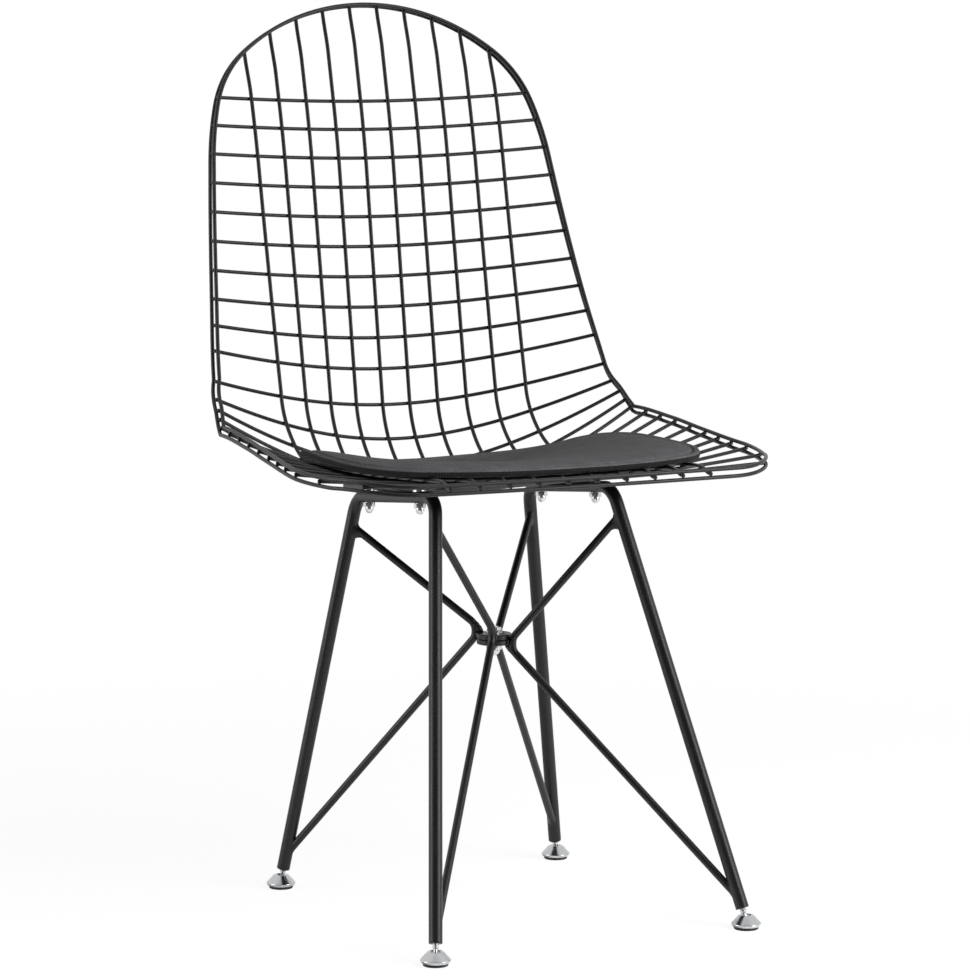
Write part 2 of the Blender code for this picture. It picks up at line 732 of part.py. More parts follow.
def build_glide(end, side, name, chrome, rubber):
    ball = leg_point(end, side, BALL_Z)
    down = leg_down(end, side)
    to_leg_end = (leg_point(end, side, LEG_END_Z) - ball).length
    radius = BALL_D / 2
    neck = STUD_NECK_D / 2
    stud = ball_outline(radius, -radius, sqrt(radius**2 - neck**2), 5)
    stud[0] = (0.0, -radius)
    stud += [(neck, STUD_NECK), (STUD_D / 2, STUD_NECK + (STUD_D - STUD_NECK_D) / 2)]
    stud += [(STUD_D / 2, to_leg_end + STUD_IN_LEG), (0.0, to_leg_end + STUD_IN_LEG)]
    place(turned(f"glide_stud_{name}", stud, SMALL_STEPS, chrome), ball, -down)

    socket = radius + SOCKET_CLEARANCE
    throat = THROAT_D / 2
    cup = [(0.0, CUP_BOTTOM_Z), (CUP_BASE_D / 2, CUP_BOTTOM_Z)]
    cup += [(CUP_ROUND_D / 2, CUP_BOTTOM_Z + CUP_ROUND)]
    cup += [(CUP_D / 2, CUP_WIDEST_Z - CUP_BAND / 2), (CUP_D / 2, CUP_WIDEST_Z + CUP_BAND / 2)]
    cup += [(CUP_TOP_D / 2 + CUP_LIP, CUP_TOP_Z - CUP_LIP), (CUP_TOP_D / 2 - CUP_LIP, CUP_TOP_Z)]
    cup += [(CUP_MOUTH_D / 2, CUP_TOP_Z)]
    cup = [(r, z - BALL_Z) for r, z in cup]
    cup += ball_outline(socket, sqrt(socket**2 - throat**2), -socket, 5)
    cup[-1] = (0.0, -socket)
    place(turned(f"glide_cup_{name}", cup, ROUND_STEPS, chrome), ball, Vector((0.0, 0.0, 1.0)))

    pad_r = GLIDE_PAD_D / 2
    pad_top = CUP_BOTTOM_Z - GAP
    pad = [(0.0, 0.0), (pad_r, 0.0), (pad_r, pad_top), (0.0, pad_top)]
    pad = [(r, z - BALL_Z) for r, z in pad]
    place(turned(f"glide_pad_{name}", pad, ROUND_STEPS, rubber), ball, Vector((0.0, 0.0, 1.0)))


# Seat pad

def pad_outline(angle):
    """Edge of the pad as (x, station): half a superellipse in front and half behind."""
    front = sin(angle) < 0.0
    power = 2.0 / (PAD_FRONT_SQUARENESS if front else PAD_BACK_SQUARENESS)
    reach = PAD_WIDEST - PAD_FRONT if front else PAD_BACK - PAD_WIDEST
    x = PAD_HALF_WIDTH * abs(cos(angle)) ** power
    y = reach * abs(sin(angle)) ** power
    return (x if cos(angle) >= 0.0 else -x), (-y if front else y)


def build_seat_pad(leatherette):
    """Thin cushion that follows the dished seat: crowned, with its sides drawn in underneath."""
    steps = round(PAD_STEPS)
    base = LONG_LIFT + LONG_WIRE_D / 2 + PAD_SEAT_CLEARANCE
    rings = [(ratio, base) for ratio in PAD_UNDER_RINGS]
    rings += [(1.0, base + PAD_EDGE * share) for share in PAD_SIDE_HEIGHTS]
    for ratio in PAD_TOP_RINGS:
        rings.append((ratio, base + PAD_EDGE + PAD_CROWN * (1.0 - ratio**PAD_CROWN_POWER)))
    mesh = bmesh.new()
    low = mesh.verts.new(lifted(0.0, PAD_WIDEST, base))
    loops = []
    for ratio, lift in rings:
        loop = []
        for k in range(steps):
            x, along = pad_outline(2 * pi * (k + 0.5) / steps)
            loop.append(mesh.verts.new(lifted(x * ratio, PAD_WIDEST + along * ratio, lift)))
        loops.append(loop)
    top = mesh.verts.new(lifted(0.0, PAD_WIDEST, base + PAD_EDGE + PAD_CROWN))
    for k in range(steps):
        nxt = (k + 1) % steps
        mesh.faces.new((low, loops[0][nxt], loops[0][k]))
        mesh.faces.new((top, loops[-1][k], loops[-1][nxt]))
        for inner, outer in zip(loops, loops[1:]):
            mesh.faces.new((inner[k], inner[nxt], outer[nxt], outer[k]))
    from_bmesh("seat_pad", mesh, leatherette)


def shade_round_pieces():
    for item in bpy.context.scene.objects:
        if item.type == "MESH":
            item.data.shade_smooth()
            item.data.set_sharp_from_angle(angle=SHARP_ANGLE)


def main():
    clear_scene()
    black = finish("black_powder_coat", (0.012, 0.012, 0.013), 0.42, 0.0)
    chrome = finish("polished_chrome", (0.72, 0.73, 0.75), 0.12, 1.0)
    rubber = finish("black_glide_pad", (0.010, 0.010, 0.010), 0.75, 0.0)
    leatherette = finish("charcoal_leatherette", (0.030, 0.030, 0.032), 0.58, 0.0)
    build_shell(black)
    build_base(black, chrome)
    build_hub(black, chrome)
    for side, hand in ((-1, "left"), (1, "right")):
        for end in ("front", "rear"):
            build_glide(end, side, f"{end}_{hand}", chrome, rubber)
    build_seat_pad(leatherette)
    shade_round_pieces()


main()
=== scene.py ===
# %% [markdown]
# # A wire-shell dining chair, dressed
# The imported model holds every piece of the chair at its real size and place.  This lesson gives it
# its looks: each wire, rod, nut and glide is worked out again as a smooth surface with numpy, and its
# finish is made of nodes.  Nothing is moved or resized, so the first cell loads the model as a fixed
# frame.

# %% Load the frame
from math import acos, cos, hypot, pi, radians, sin, tan

import bpy
import numpy as np
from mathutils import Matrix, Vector


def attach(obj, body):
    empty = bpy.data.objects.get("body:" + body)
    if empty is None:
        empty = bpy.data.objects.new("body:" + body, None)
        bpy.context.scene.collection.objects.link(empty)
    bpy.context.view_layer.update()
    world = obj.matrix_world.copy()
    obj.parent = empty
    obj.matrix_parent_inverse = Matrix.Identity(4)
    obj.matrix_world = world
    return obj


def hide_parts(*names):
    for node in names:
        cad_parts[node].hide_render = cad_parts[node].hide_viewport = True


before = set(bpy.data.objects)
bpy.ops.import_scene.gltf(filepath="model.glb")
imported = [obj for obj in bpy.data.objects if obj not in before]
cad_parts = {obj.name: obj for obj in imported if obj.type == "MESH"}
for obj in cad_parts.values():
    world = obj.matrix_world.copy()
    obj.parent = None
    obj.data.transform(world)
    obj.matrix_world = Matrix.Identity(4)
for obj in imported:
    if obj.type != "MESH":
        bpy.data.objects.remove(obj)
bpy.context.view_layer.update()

MM = 0.001

# %% [markdown]
# ## Surfaces from grids
# A rod, a nut and a cushion are all one thing to a mesh: a grid of points that runs round in columns
# and along in rows.  Primitives and modifiers could make most of them, but a grid of numbers gives
# exact control of every edge and is quick.  The columns always meet, so a tube has no seam, and a fan
# of triangles closes each end.

# %% A grid becomes a closed surface
def unit(vectors):
    """Each vector divided by its length."""
    return vectors / np.linalg.norm(vectors, axis=-1, keepdims=True)


def closed(points, ring=False, first=None, last=None):
    """Vertices, quads and triangles of a grid of points, shaped (rows, columns, 3).

    The columns run round and meet.  The rows meet too where ring is true, and otherwise the points
    first and last close the ends.  The volume is a sixth of the sum of a . (b x c) over the triangles,
    and where it is negative the faces are turned over, so that they point outwards.
    """
    rows, columns = points.shape[:2]
    index = np.arange(rows * columns).reshape(rows, columns)
    index = np.vstack((index, index[:1])) if ring else index
    beside = np.roll(index, -1, axis=1)
    quads = np.stack((index[:-1], beside[:-1], beside[1:], index[1:]), axis=-1).reshape(-1, 4)
    vertices = points.reshape(-1, 3)
    fans = np.zeros((0, 3), int)
    if not ring:
        tips = len(vertices) + np.repeat([[0], [1]], columns, axis=1)
        vertices = np.vstack((vertices, first, last))
        opening = np.stack((beside[0], index[0], tips[0]), axis=-1)
        ending = np.stack((index[-1], beside[-1], tips[1]), axis=-1)
        fans = np.vstack((opening, ending))
    corners = np.vstack((quads[:, [0, 1, 2]], quads[:, [0, 2, 3]], fans))
    a, b, c = np.moveaxis(vertices[corners] - vertices.mean(axis=0), 1, 0)
    if np.sum(a * np.cross(b, c)) < 0.0:
        quads, fans = quads[:, ::-1], fans[:, ::-1]
    return vertices, quads, fans


# %% Closed surfaces become an object
SHARP_EDGE = radians(38.0)


def mesh_of(name, parts):
    """A mesh of one or more closed surfaces, written as whole arrays."""
    starts = np.cumsum([0] + [len(part[0]) for part in parts])
    vertices = np.vstack([part[0] for part in parts])
    quads = np.vstack([part[1] + start for part, start in zip(parts, starts)])
    fans = np.vstack([part[2] + start for part, start in zip(parts, starts)])
    corners = np.concatenate((quads.ravel(), fans.ravel())).astype(np.int32)
    sizes = np.repeat((4, 3), (len(quads), len(fans)))
    mesh = bpy.data.meshes.new(name)
    mesh.vertices.add(len(vertices))
    mesh.vertices.foreach_set("co", vertices.ravel())
    mesh.loops.add(len(corners))
    mesh.loops.foreach_set("vertex_index", corners)
    mesh.polygons.add(len(sizes))
    mesh.polygons.foreach_set("loop_start", (np.cumsum(sizes) - sizes).astype(np.int32))
    mesh.update(calc_edges=True)
    mesh.shade_smooth()
    mesh.set_sharp_from_angle(angle=SHARP_EDGE)
    return mesh


def make(name, parts, finish, nodes, body="chair"):
    """One piece: it rides on a body, stands for CAD nodes and takes its finish from a slot."""
    mesh = mesh_of(name, parts)
    mesh.materials.append(finish)
    piece = bpy.data.objects.new(name, mesh)
    bpy.context.scene.collection.objects.link(piece)
    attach(piece, body)
    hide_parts(*nodes)
    return piece


# %% [markdown]
# ## Rods and turned parts
# Almost everything here was a straight wire or bar once, and was bent.  A curve with a bevel would do,
# but its ends are flat discs with razor edges.  A circle carried along a path gives the same tube, and
# a few more circles past its end make a broken edge, a point or a bored hole.  Nuts, studs and glides
# are turned, so they are a profile spun about an axis, with the radius held inside a hexagon where a
# spanner fits.

# %% A circle carried along a path
def rod(path, radius, lean, start=(), end=(), spokes=16, ring=False):
    """A round bar: circles square to a path.

    The first spoke of a circle is the part of lean that is square to the path, the others turn from
    it, and radius is one number or one for each point.  start and end list more circles past an end
    as (distance, radius), and the last of them is closed to its centre.
    """
    ahead = np.roll(path, -1, axis=0) - np.roll(path, 1, axis=0) if ring else np.gradient(path, axis=0)
    ahead = unit(ahead)
    side = unit(lean - ahead * np.sum(lean * ahead, axis=-1, keepdims=True))
    radii = np.broadcast_to(radius, len(path))
    before = np.array(start[::-1], float).reshape(-1, 2)
    after = np.array(end, float).reshape(-1, 2)
    pick = np.clip(np.arange(-len(before), len(path) + len(after)), 0, len(path) - 1)
    shift = np.concatenate((-before[:, 0], np.zeros(len(path)), after[:, 0]))
    radii = np.concatenate((before[:, 1], radii, after[:, 1]))
    ahead, side = ahead[pick], side[pick]
    centres = path[pick] + shift[:, None] * ahead
    turn = 2.0 * pi * np.arange(spokes) / spokes
    spoke = np.cos(turn)[:, None] * side[:, None] + np.sin(turn)[:, None] * np.cross(ahead, side)[:, None]
    points = centres[:, None] + radii[:, None, None] * spoke
    return closed(points, ring, centres[0], centres[-1])


def sawn(radius, edge=0.35 * MM):
    """Circles of a cut end with a broken edge, past the end of a rod."""
    return ((0.45 * edge, radius - 0.15 * edge), (edge, radius - 0.7 * edge))


def bored(radius, bore, depth, edge=0.6 * MM):
    """Circles of a cut end with a hole: over the edge, across the face and back inside."""
    return sawn(radius, edge) + ((edge, bore + edge / 2), (edge / 2, bore), (-depth, bore))


# %% A profile turned about an axis
def turned(profile, origin, axis, steps=48, flats=None):
    """Profile points (radius, height) spun about an axis that stands at origin.

    With flats, the radius at an angle is at most half the width over flats divided by the cosine of
    the angle to the nearest flat, which cuts a hexagon.
    """
    radius, height = np.array(profile).T[:, :, None]
    turn = 2.0 * pi * np.arange(steps) / steps
    radius = np.repeat(radius, steps, axis=1)
    if flats is not None:
        to_flat = (turn + pi / 6.0) % (pi / 3.0) - pi / 6.0
        radius = np.minimum(radius, flats / 2.0 / np.cos(to_flat))
    axis = unit(np.array(axis, float))
    side = unit(np.cross((0.0, 1.0, 0.0), axis)) if abs(axis[1]) < 0.9 else np.array((1.0, 0.0, 0.0))
    around = np.cos(turn)[:, None] * side + np.sin(turn)[:, None] * np.cross(axis, side)
    points = np.asarray(origin) + radius[..., None] * around + height[..., None] * axis
    ends = [np.asarray(origin) + profile[k][1] * axis for k in (0, -1)]
    return closed(points, False, *ends)


def arc(centre, radius, first, last, steps=8):
    """Profile points on a quarter or other part of a circle, by angle in degrees."""
    angle = np.radians(np.linspace(first, last, steps))
    return [(centre[0] + radius * cos(a), centre[1] + radius * sin(a)) for a in angle]


# %% Bends in a path
def rounded(corners, radii, steps=14):
    """Straight runs whose inner corners become arcs: the arc of a bend touches both runs at the
    radius over the tangent of half the angle between them."""
    corners = np.array(corners, float)
    path = [corners[:1]]
    for before, corner, after, radius in zip(corners, corners[1:], corners[2:], radii):
        back, ahead = unit(before - corner), unit(after - corner)
        half = acos(np.clip(back @ ahead, -1.0, 1.0)) / 2.0
        centre = corner + unit(back + ahead) * radius / sin(half)
        start = corner + back * radius / tan(half) - centre
        turn = np.linspace(0.0, pi - 2.0 * half, steps)[:, None]
        path.append(centre + start * np.cos(turn) - back * radius * np.sin(turn))
    return np.vstack(path + [corners[-1:]])


def evenly(path, spacing=2.0 * MM):
    """The same path with points at an even spacing along it."""
    along = np.concatenate(([0.0], np.cumsum(np.linalg.norm(np.diff(path, axis=0), axis=1))))
    places = np.linspace(0.0, along[-1], int(along[-1] / spacing) + 2)
    return np.stack([np.interp(places, along, path[:, k]) for k in range(3)], axis=1)


print("helpers ready")

# %% [markdown]
# ## Finishes
# A finish starts from what the real surface is.  Colours are written as a designer reads them off a
# screen, and one function turns them to the linear values that a shader needs.  One more function adds
# a node with its settings, so each finish below reads as a short recipe.  All patterns use Object
# coordinates in metres, so a scale is one over a real size.

# %% Colours and nodes
def linear(code):
    """Linear colour of an sRGB hex code."""
    part = np.array([int(code[k : k + 2], 16) for k in (1, 3, 5)]) / 255.0
    part = np.where(part <= 0.04045, part / 12.92, ((part + 0.055) / 1.055) ** 2.4)
    return (*part.tolist(), 1.0)


def feed(tree, node, inputs):
    """Inputs of a node: each takes a value, or a socket that is then linked."""
    for key, value in inputs.items():
        if isinstance(value, bpy.types.NodeSocket):
            tree.links.new(value, node.inputs[key])
        else:
            node.inputs[key].default_value = value


def add(tree, kind, inputs=None, **settings):
    """A node with its settings and its inputs."""
    node = tree.nodes.new(kind)
    for key, value in settings.items():
        setattr(node, key, value)
    feed(tree, node, inputs or {})
    return node


def blank_finish(name, **sockets):
    """A material with one Principled shader, and the shader's plain settings."""
    material = bpy.data.materials.new(name)
    material.use_nodes = True
    shader = material.node_tree.nodes["Principled BSDF"]
    for key, value in sockets.items():
        shader.inputs[key.replace("_", " ")].default_value = value
    return material, material.node_tree, shader


def two_tone(tree, factor, low, high):
    """A ramp between two hex colours."""
    ramp = add(tree, "ShaderNodeValToRGB", {"Fac": factor})
    ramp.color_ramp.elements[0].color = linear(low)
    ramp.color_ramp.elements[1].color = linear(high)
    return ramp.outputs["Color"]


def spread(tree, factor, low, high):
    """A number that runs from low to high as a pattern runs from 0.3 to 0.7."""
    limits = {"From Min": 0.3, "From Max": 0.7, "To Min": low, "To Max": high}
    return add(tree, "ShaderNodeMapRange", {"Value": factor, **limits}).outputs["Result"]


def noise(tree, place, size, detail=2.0):
    """Soft patches about one size across."""
    inputs = {"Vector": place, "Scale": 1.0 / size, "Detail": detail}
    return add(tree, "ShaderNodeTexNoise", inputs).outputs["Fac"]


def maths(tree, operation, *values):
    """One step of arithmetic on numbers or patterns."""
    return add(tree, "ShaderNodeMath", dict(enumerate(values)), operation=operation).outputs[0]


def bumps(tree, height, strength, distance):
    """The surface's normal, tilted by a pattern of heights."""
    inputs = {"Height": height, "Strength": strength, "Distance": distance}
    return add(tree, "ShaderNodeBump", inputs).outputs["Normal"]


# %% [markdown]
# ### Powder-coated steel
# The wires, legs and struts are steel that was sprayed with dry black powder and baked.  The powder
# flows as it melts but not to a mirror: it leaves a satin skin with a faint orange peel a millimetre
# or so across.  Its highlights are broad and soft, and between them the rod is nearly black.

# %% Satin black powder coat
PEEL = 1.3 * MM
PATCH = 45.0 * MM


def powder_coat():
    """Near-black paint, roughness that drifts a little, and a shallow orange peel."""
    coat, tree, shader = blank_finish("satin_black_powder_coat", Specular_IOR_Level=0.36)
    place = add(tree, "ShaderNodeTexCoord").outputs["Object"]
    peel, patch = noise(tree, place, PEEL), noise(tree, place, PATCH, 3.0)
    feed(tree, shader, {
        "Base Color": two_tone(tree, patch, "#070708", "#0d0d0e"),
        "Roughness": spread(tree, patch, 0.33, 0.42),
        "Normal": bumps(tree, peel, 0.10, PEEL),
    })
    return coat


COAT = powder_coat()

# %% [markdown]
# ### Chrome and plated steel
# The glide cups are polished and chromed, so they mirror the floor and the legs.  The dome nuts are
# nickel plated and the studs and bolts zinc plated: the same steel, but duller.  A metal has no colour
# of its own under its reflection, so the base colour is the reflection's tint.  The tints are close, and
# it is mostly the roughness that tells them apart.

# %% Chrome, nickel and zinc plate
HANDLING = 6.0 * MM
BARREL_GRAIN = 0.5 * MM


def plated(name, tint, smooth, rough):
    """Metal whose roughness drifts between two values, as polish and handling leave it."""
    metal, tree, shader = blank_finish(name, Metallic=1.0, Base_Color=linear(tint))
    place = add(tree, "ShaderNodeTexCoord").outputs["Object"]
    smear, grain = noise(tree, place, HANDLING, 4.0), noise(tree, place, BARREL_GRAIN)
    feed(tree, shader, {
        "Roughness": spread(tree, smear, smooth, rough),
        "Normal": bumps(tree, grain, 0.03, BARREL_GRAIN),
    })
    return metal


CHROME = plated("bright_chrome", "#bcbec0", 0.12, 0.22)
NICKEL = plated("nickel_plated_steel", "#cfd0d1", 0.17, 0.27)
ZINC = plated("zinc_plated_steel", "#cbcccd", 0.22, 0.34)

# %% [markdown]
# ### Moulded pads
# The soft discs under the glides are moulded black polyethylene: matt, slightly mottled, with the fine
# grain of the mould.

# %% Black polyethylene
MOULD_GRAIN = 0.4 * MM


def moulded_black():
    """Matt black plastic with the grain of its mould."""
    plastic, tree, shader = blank_finish("black_polyethylene", Roughness=0.62, Specular_IOR_Level=0.4)
    place = add(tree, "ShaderNodeTexCoord").outputs["Object"]
    grain = noise(tree, place, MOULD_GRAIN)
    feed(tree, shader, {
        "Base Color": two_tone(tree, grain, "#0b0b0b", "#161616"),
        "Normal": bumps(tree, grain, 0.2, MOULD_GRAIN),
    })
    return plastic


GLIDE_PLASTIC = moulded_black()

# %% [markdown]
# ### Leatherette
# The seat pad is covered in charcoal leatherette, a coated cloth whose pressed grain is a fine, even
# grid of bumps.  The pad carries a UV map in metres, laid flat over the seat, so the grain follows the
# cover.  The real grain is about a millimetre, which one pixel would swallow, so it is drawn at about
# twice that.

# %% Charcoal leatherette
GRAIN, RELIEF = 2.3 * MM, 0.4 * MM
MOTTLE = 22.0 * MM


def leatherette():
    """Grey coated cloth: rows of small bumps with painted shade between them, and a soft mottle."""
    cover, tree, shader = blank_finish("charcoal_leatherette", Specular_IOR_Level=0.02)
    place = add(tree, "ShaderNodeTexCoord").outputs["UV"]
    grain_settings = {"Vector": place, "Scale": 1.0 / GRAIN, "Randomness": 0.45}
    grain = add(tree, "ShaderNodeTexVoronoi", grain_settings, voronoi_dimensions="2D")
    mottle = noise(tree, place, MOTTLE, 5.0)
    height = maths(tree, "SUBTRACT", 1.0, grain.outputs["Distance"])
    painted_grain_shade_and_mottle = maths(tree, "MULTIPLY", height, mottle)
    # the colour is darker where the grain is low: painted shade between the bumps, times a random mottle
    feed(tree, shader, {
        "Base Color": two_tone(tree, painted_grain_shade_and_mottle, "#39393a", "#626264"),
        "Roughness": spread(tree, mottle, 0.70, 0.82),
        "Normal": bumps(tree, height, 0.6, RELIEF),
    })
    return cover


LEATHERETTE = leatherette()

# %% [markdown]
# ### Ribbed side tape
# The side wall and the underside of the pad are a black ribbed cloth.  On the wall the UV map runs
# along the edge in metres, so a sine of that length gives upright ribs.  Their real pitch is just wide
# enough to show.

# %% Black ribbed tape
RIB = 2.4 * MM


def ribbed_tape():
    """Black woven tape: a sine along the edge is the height of the ribs and paints shade in the grooves
    between them.
    """
    tape, tree, shader = blank_finish("black_ribbed_tape", Roughness=0.85, Specular_IOR_Level=0.2)
    place = add(tree, "ShaderNodeTexCoord").outputs["UV"]
    along = add(tree, "ShaderNodeSeparateXYZ", {0: place}).outputs["X"]
    wave = maths(tree, "SINE", maths(tree, "MULTIPLY", along, 2.0 * pi / RIB))
    limits = {"Value": wave, "From Min": -1.0, "From Max": 1.0}
    height = add(tree, "ShaderNodeMapRange", limits).outputs["Result"]
    # the colour is darker where the ribs are low: painted shade in the grooves between them
    feed(tree, shader, {
        "Base Color": two_tone(tree, height, "#0b0b0b", "#1c1c1d"),
        "Normal": bumps(tree, height, 0.6, RELIEF),
    })
    return tape


TAPE = ribbed_tape()
THREAD, _, _ = blank_finish("black_polyester_thread", Base_Color=linear("#2a2a2b"), Roughness=0.7)
print("finishes:", [material.name for material in bpy.data.materials])

# %% [markdown]
# ## The shell as a surface
# The wires lie on a dished sheet that nobody sees.  Its side profile is straight runs and arcs from
# the front edge over the seat and up the back, and each cross wire rises from that profile as a
# hyperbola, flat in the middle and straight at the sides.  With the sheet as one function, every wire
# is a line drawn on it, a little above or below.

# %% Side profile
FRONT_Y, FRONT_Z = -0.2195, 0.4310
FRONT_RISE, SEAT_FALL, BACK_RISE, TOP_RISE = np.radians((4.0, 9.0, 81.4, 76.5))
FRONT_ROLL_R, SEAT_RUN, BEND_R, BACK_RUN, FLARE_R = 0.150, 0.2566, 0.095, 0.224, 0.900
TOP_STATION = 0.8378
RUNS = (
    (-FRONT_ROLL_R, FRONT_ROLL_R * (FRONT_RISE + SEAT_FALL)),
    (None, SEAT_RUN),
    (BEND_R, BEND_R * (SEAT_FALL + BACK_RISE)),
    (None, BACK_RUN),
    (-FLARE_R, FLARE_R * (BACK_RISE - TOP_RISE)),
    (None, TOP_STATION),
)


def profile(station):
    """Y, Z and heading at distances from the front edge, walking each run in turn: a straight run
    goes along the heading, and an arc turns the heading by its length over its radius."""
    station = np.asarray(station, float)
    heading = np.full(station.shape, FRONT_RISE)
    short = np.minimum(station, 0.0)
    y = FRONT_Y + short * np.cos(heading)
    z = FRONT_Z + short * np.sin(heading)
    left = np.maximum(station, 0.0)
    for radius, length in RUNS:
        step = np.minimum(left, length)
        left = left - step
        if radius is None:
            y, z = y + step * np.cos(heading), z + step * np.sin(heading)
        else:
            ahead = heading + step / radius
            y = y + radius * (np.sin(ahead) - np.sin(heading))
            z = z + radius * (np.cos(heading) - np.cos(ahead))
            heading = ahead
    return y, z, heading


# %% Cross-section
DISH_WIDTH = 0.200
SECTIONS = np.array((
    (0.000, 0.000, 0.012),
    (0.050, 0.028, 0.062),
    (0.160, 0.077, 0.042),
    (0.215, 0.107, 0.034),
    (0.315, 0.150, 0.024),
    (0.370, 0.152, 0.034),
    (0.437, 0.113, 0.057),
    (0.535, 0.077, 0.029),
    (0.655, 0.038, 0.019),
    (0.835, 0.000, 0.014),
))


def section(station, column):
    """Dish or sweep at a station: a smooth cubic through one column of SECTIONS."""
    places, values = SECTIONS[:, 0], SECTIONS[:, column]
    slopes = np.gradient(values, places)
    station = np.clip(station, places[0], places[-1])
    k = np.clip(np.searchsorted(places, station) - 1, 0, len(places) - 2)
    span = places[k + 1] - places[k]
    u = (station - places[k]) / span
    rise = (3.0 * u**2 - 2.0 * u**3) * (values[k + 1] - values[k])
    bend = (u**3 - 2.0 * u**2 + u) * slopes[k] + (u**3 - u**2) * slopes[k + 1]
    return values[k] + rise + span * bend


def sheet(x, station):
    """Point of the sheet: the profile, moved along its normal by the dish and along its heading by
    the sweep, both times sqrt(1 + (x / width)^2) - 1."""
    y, z, heading = profile(station)
    rise = np.sqrt(1.0 + (x / DISH_WIDTH) ** 2) - 1.0
    dish, sweep = rise * section(station, 1), rise * section(station, 2)
    y = y - dish * np.sin(heading) + sweep * np.cos(heading)
    z = z + dish * np.cos(heading) + sweep * np.sin(heading)
    return np.stack(np.broadcast_arrays(x, y, z), axis=-1)


def upward(x, station, step=0.5 * MM):
    """Unit normal of the sheet on the sitter's side, from its slopes across and along."""
    across = sheet(x + step, station) - sheet(x - step, station)
    along = sheet(x, station + step) - sheet(x, station - step)
    return unit(np.cross(across, along))


def lifted(x, station, lift):
    """Point at a height over the sheet."""
    x, station, lift = np.broadcast_arrays(np.asarray(x, float), station, lift)
    return sheet(x, station) + lift[..., None] * upward(x, station)


# %% [markdown]
# ## The rim
# Two closed loops of wire, one above the other, hold the ends of all the other wires between them like
# the rungs of a ladder.  Their outline, laid flat, is arcs and straights: a round top, a slow taper
# down the back, straight sides to the seat and two round front corners.

# %% Outline of the rim
TOP_EDGE_R, CORNER_R, SHOULDER_R, HIP_R, FRONT_CORNER_R = 0.209, 0.118, 0.330, 0.500, 0.074
TOP_EDGE_END, CORNER_END, BACK_TAPER, SEAT_TAPER = np.radians((41.0, 73.0, 83.4, 86.3))
HIP_STATION = 0.400
STEP = 2.5 * MM


def rim_outline():
    """Half the outline as (x, station), from the middle of the top edge to the middle of the front."""
    lines = [np.array(((0.0, TOP_STATION),))]
    heading = 0.0

    def bend(radius, end):
        nonlocal heading
        turn = np.linspace(heading, end, int(radius * abs(end - heading) / STEP) + 3)[1:]
        x, station = lines[-1][-1]
        x = x + radius * (np.sin(turn) - sin(heading))
        station = station + radius * (np.cos(turn) - cos(heading))
        lines.append(np.stack((x, station), axis=1))
        heading = end

    def run(to_x, to_station):
        x, station = lines[-1][-1]
        share = np.linspace(0.0, 1.0, int(hypot(to_x - x, to_station - station) / STEP) + 2)[1:, None]
        lines.append((1.0 - share) * (x, station) + share * (to_x, to_station))

    def run_down(to_station):
        x, station = lines[-1][-1]
        run(x + (station - to_station) / tan(heading), to_station)

    bend(TOP_EDGE_R, TOP_EDGE_END)
    bend(CORNER_R, CORNER_END)
    bend(SHOULDER_R, BACK_TAPER)
    run_down(HIP_STATION)
    bend(HIP_R, SEAT_TAPER)
    run_down(FRONT_CORNER_R * (1.0 + cos(SEAT_TAPER)))
    bend(FRONT_CORNER_R, pi)
    run(0.0, lines[-1][-1][1])
    return np.vstack(lines)


OUTLINE = rim_outline()
WIDEST = int(np.argmax(OUTLINE[:, 0]))

# %% Upper and lower rim
WIRE_R, CROSS_R = 1.9 * MM, 1.8 * MM
CROSS_LIFT = -1.95 * MM
RIM_SPACING = 7.7 * MM
UPPER_LIFT = CROSS_LIFT + RIM_SPACING / 2.0
LOWER_LIFT = CROSS_LIFT - RIM_SPACING / 2.0


def rim(lift):
    """The outline at a height over the sheet and its mirror image, with a wire carried along it."""
    x = np.concatenate((OUTLINE[:, 0], -OUTLINE[-2:0:-1, 0]))
    station = np.concatenate((OUTLINE[:, 1], OUTLINE[-2:0:-1, 1]))
    return rod(lifted(x, station, lift), WIRE_R, upward(x, station), ring=True)


make("rim_upper_wire", [rim(UPPER_LIFT)], COAT, ["rim_upper"])
make("rim_lower_wire", [rim(LOWER_LIFT)], COAT, ["rim_lower"])
print("outline points:", len(OUTLINE), "widest x:", round(OUTLINE[WIDEST, 0], 4))

# %% [markdown]
# ## Cross wires
# Twenty-five wires run from side to side.  Their spacing opens a little down the back, is widest in
# the bend and even in the seat.  Each could be a curve, but the two layers must meet exactly, so each
# is a line on the sheet, just under it.  The ends come out between the two rims.

# %% Stations of the cross wires
TOP_ROW, BEND_TOP, SEAT_TOP, FRONT_ROW = 0.7401, 0.4723, 0.2687, 0.0158
BACK_ROWS, BEND_ROWS, SEAT_ROWS = 10, 6, 9
BACK_GROWTH, BEND_GROWTH = 0.011, -0.021
END_PAST_RIM = 0.8 * MM


def row_group(first, last, count, growth):
    """Stations after first down to last, whose pitch grows by a share with each wire."""
    k = np.arange(1, count + 1)
    share = k + growth * k * (k - 1) / 2.0
    return first + (last - first) * share / share[-1]


ROWS = np.concatenate((
    [TOP_ROW],
    row_group(TOP_ROW, BEND_TOP, BACK_ROWS - 1, BACK_GROWTH),
    row_group(BEND_TOP, SEAT_TOP, BEND_ROWS, BEND_GROWTH),
    row_group(SEAT_TOP, FRONT_ROW, SEAT_ROWS, 0.0),
))
ROW_ENDS = np.interp(ROWS, OUTLINE[::-1, 1], OUTLINE[::-1, 0]) + END_PAST_RIM

# %% The cross wires
ON_RAILS = range(14, 22)


def cross_wire(row):
    """A line across the sheet at one station, half a wire under it."""
    x = np.linspace(-ROW_ENDS[row], ROW_ENDS[row], 71)
    path = lifted(x, ROWS[row], CROSS_LIFT)
    return rod(path, CROSS_R, upward(x, ROWS[row]), sawn(CROSS_R), sawn(CROSS_R))


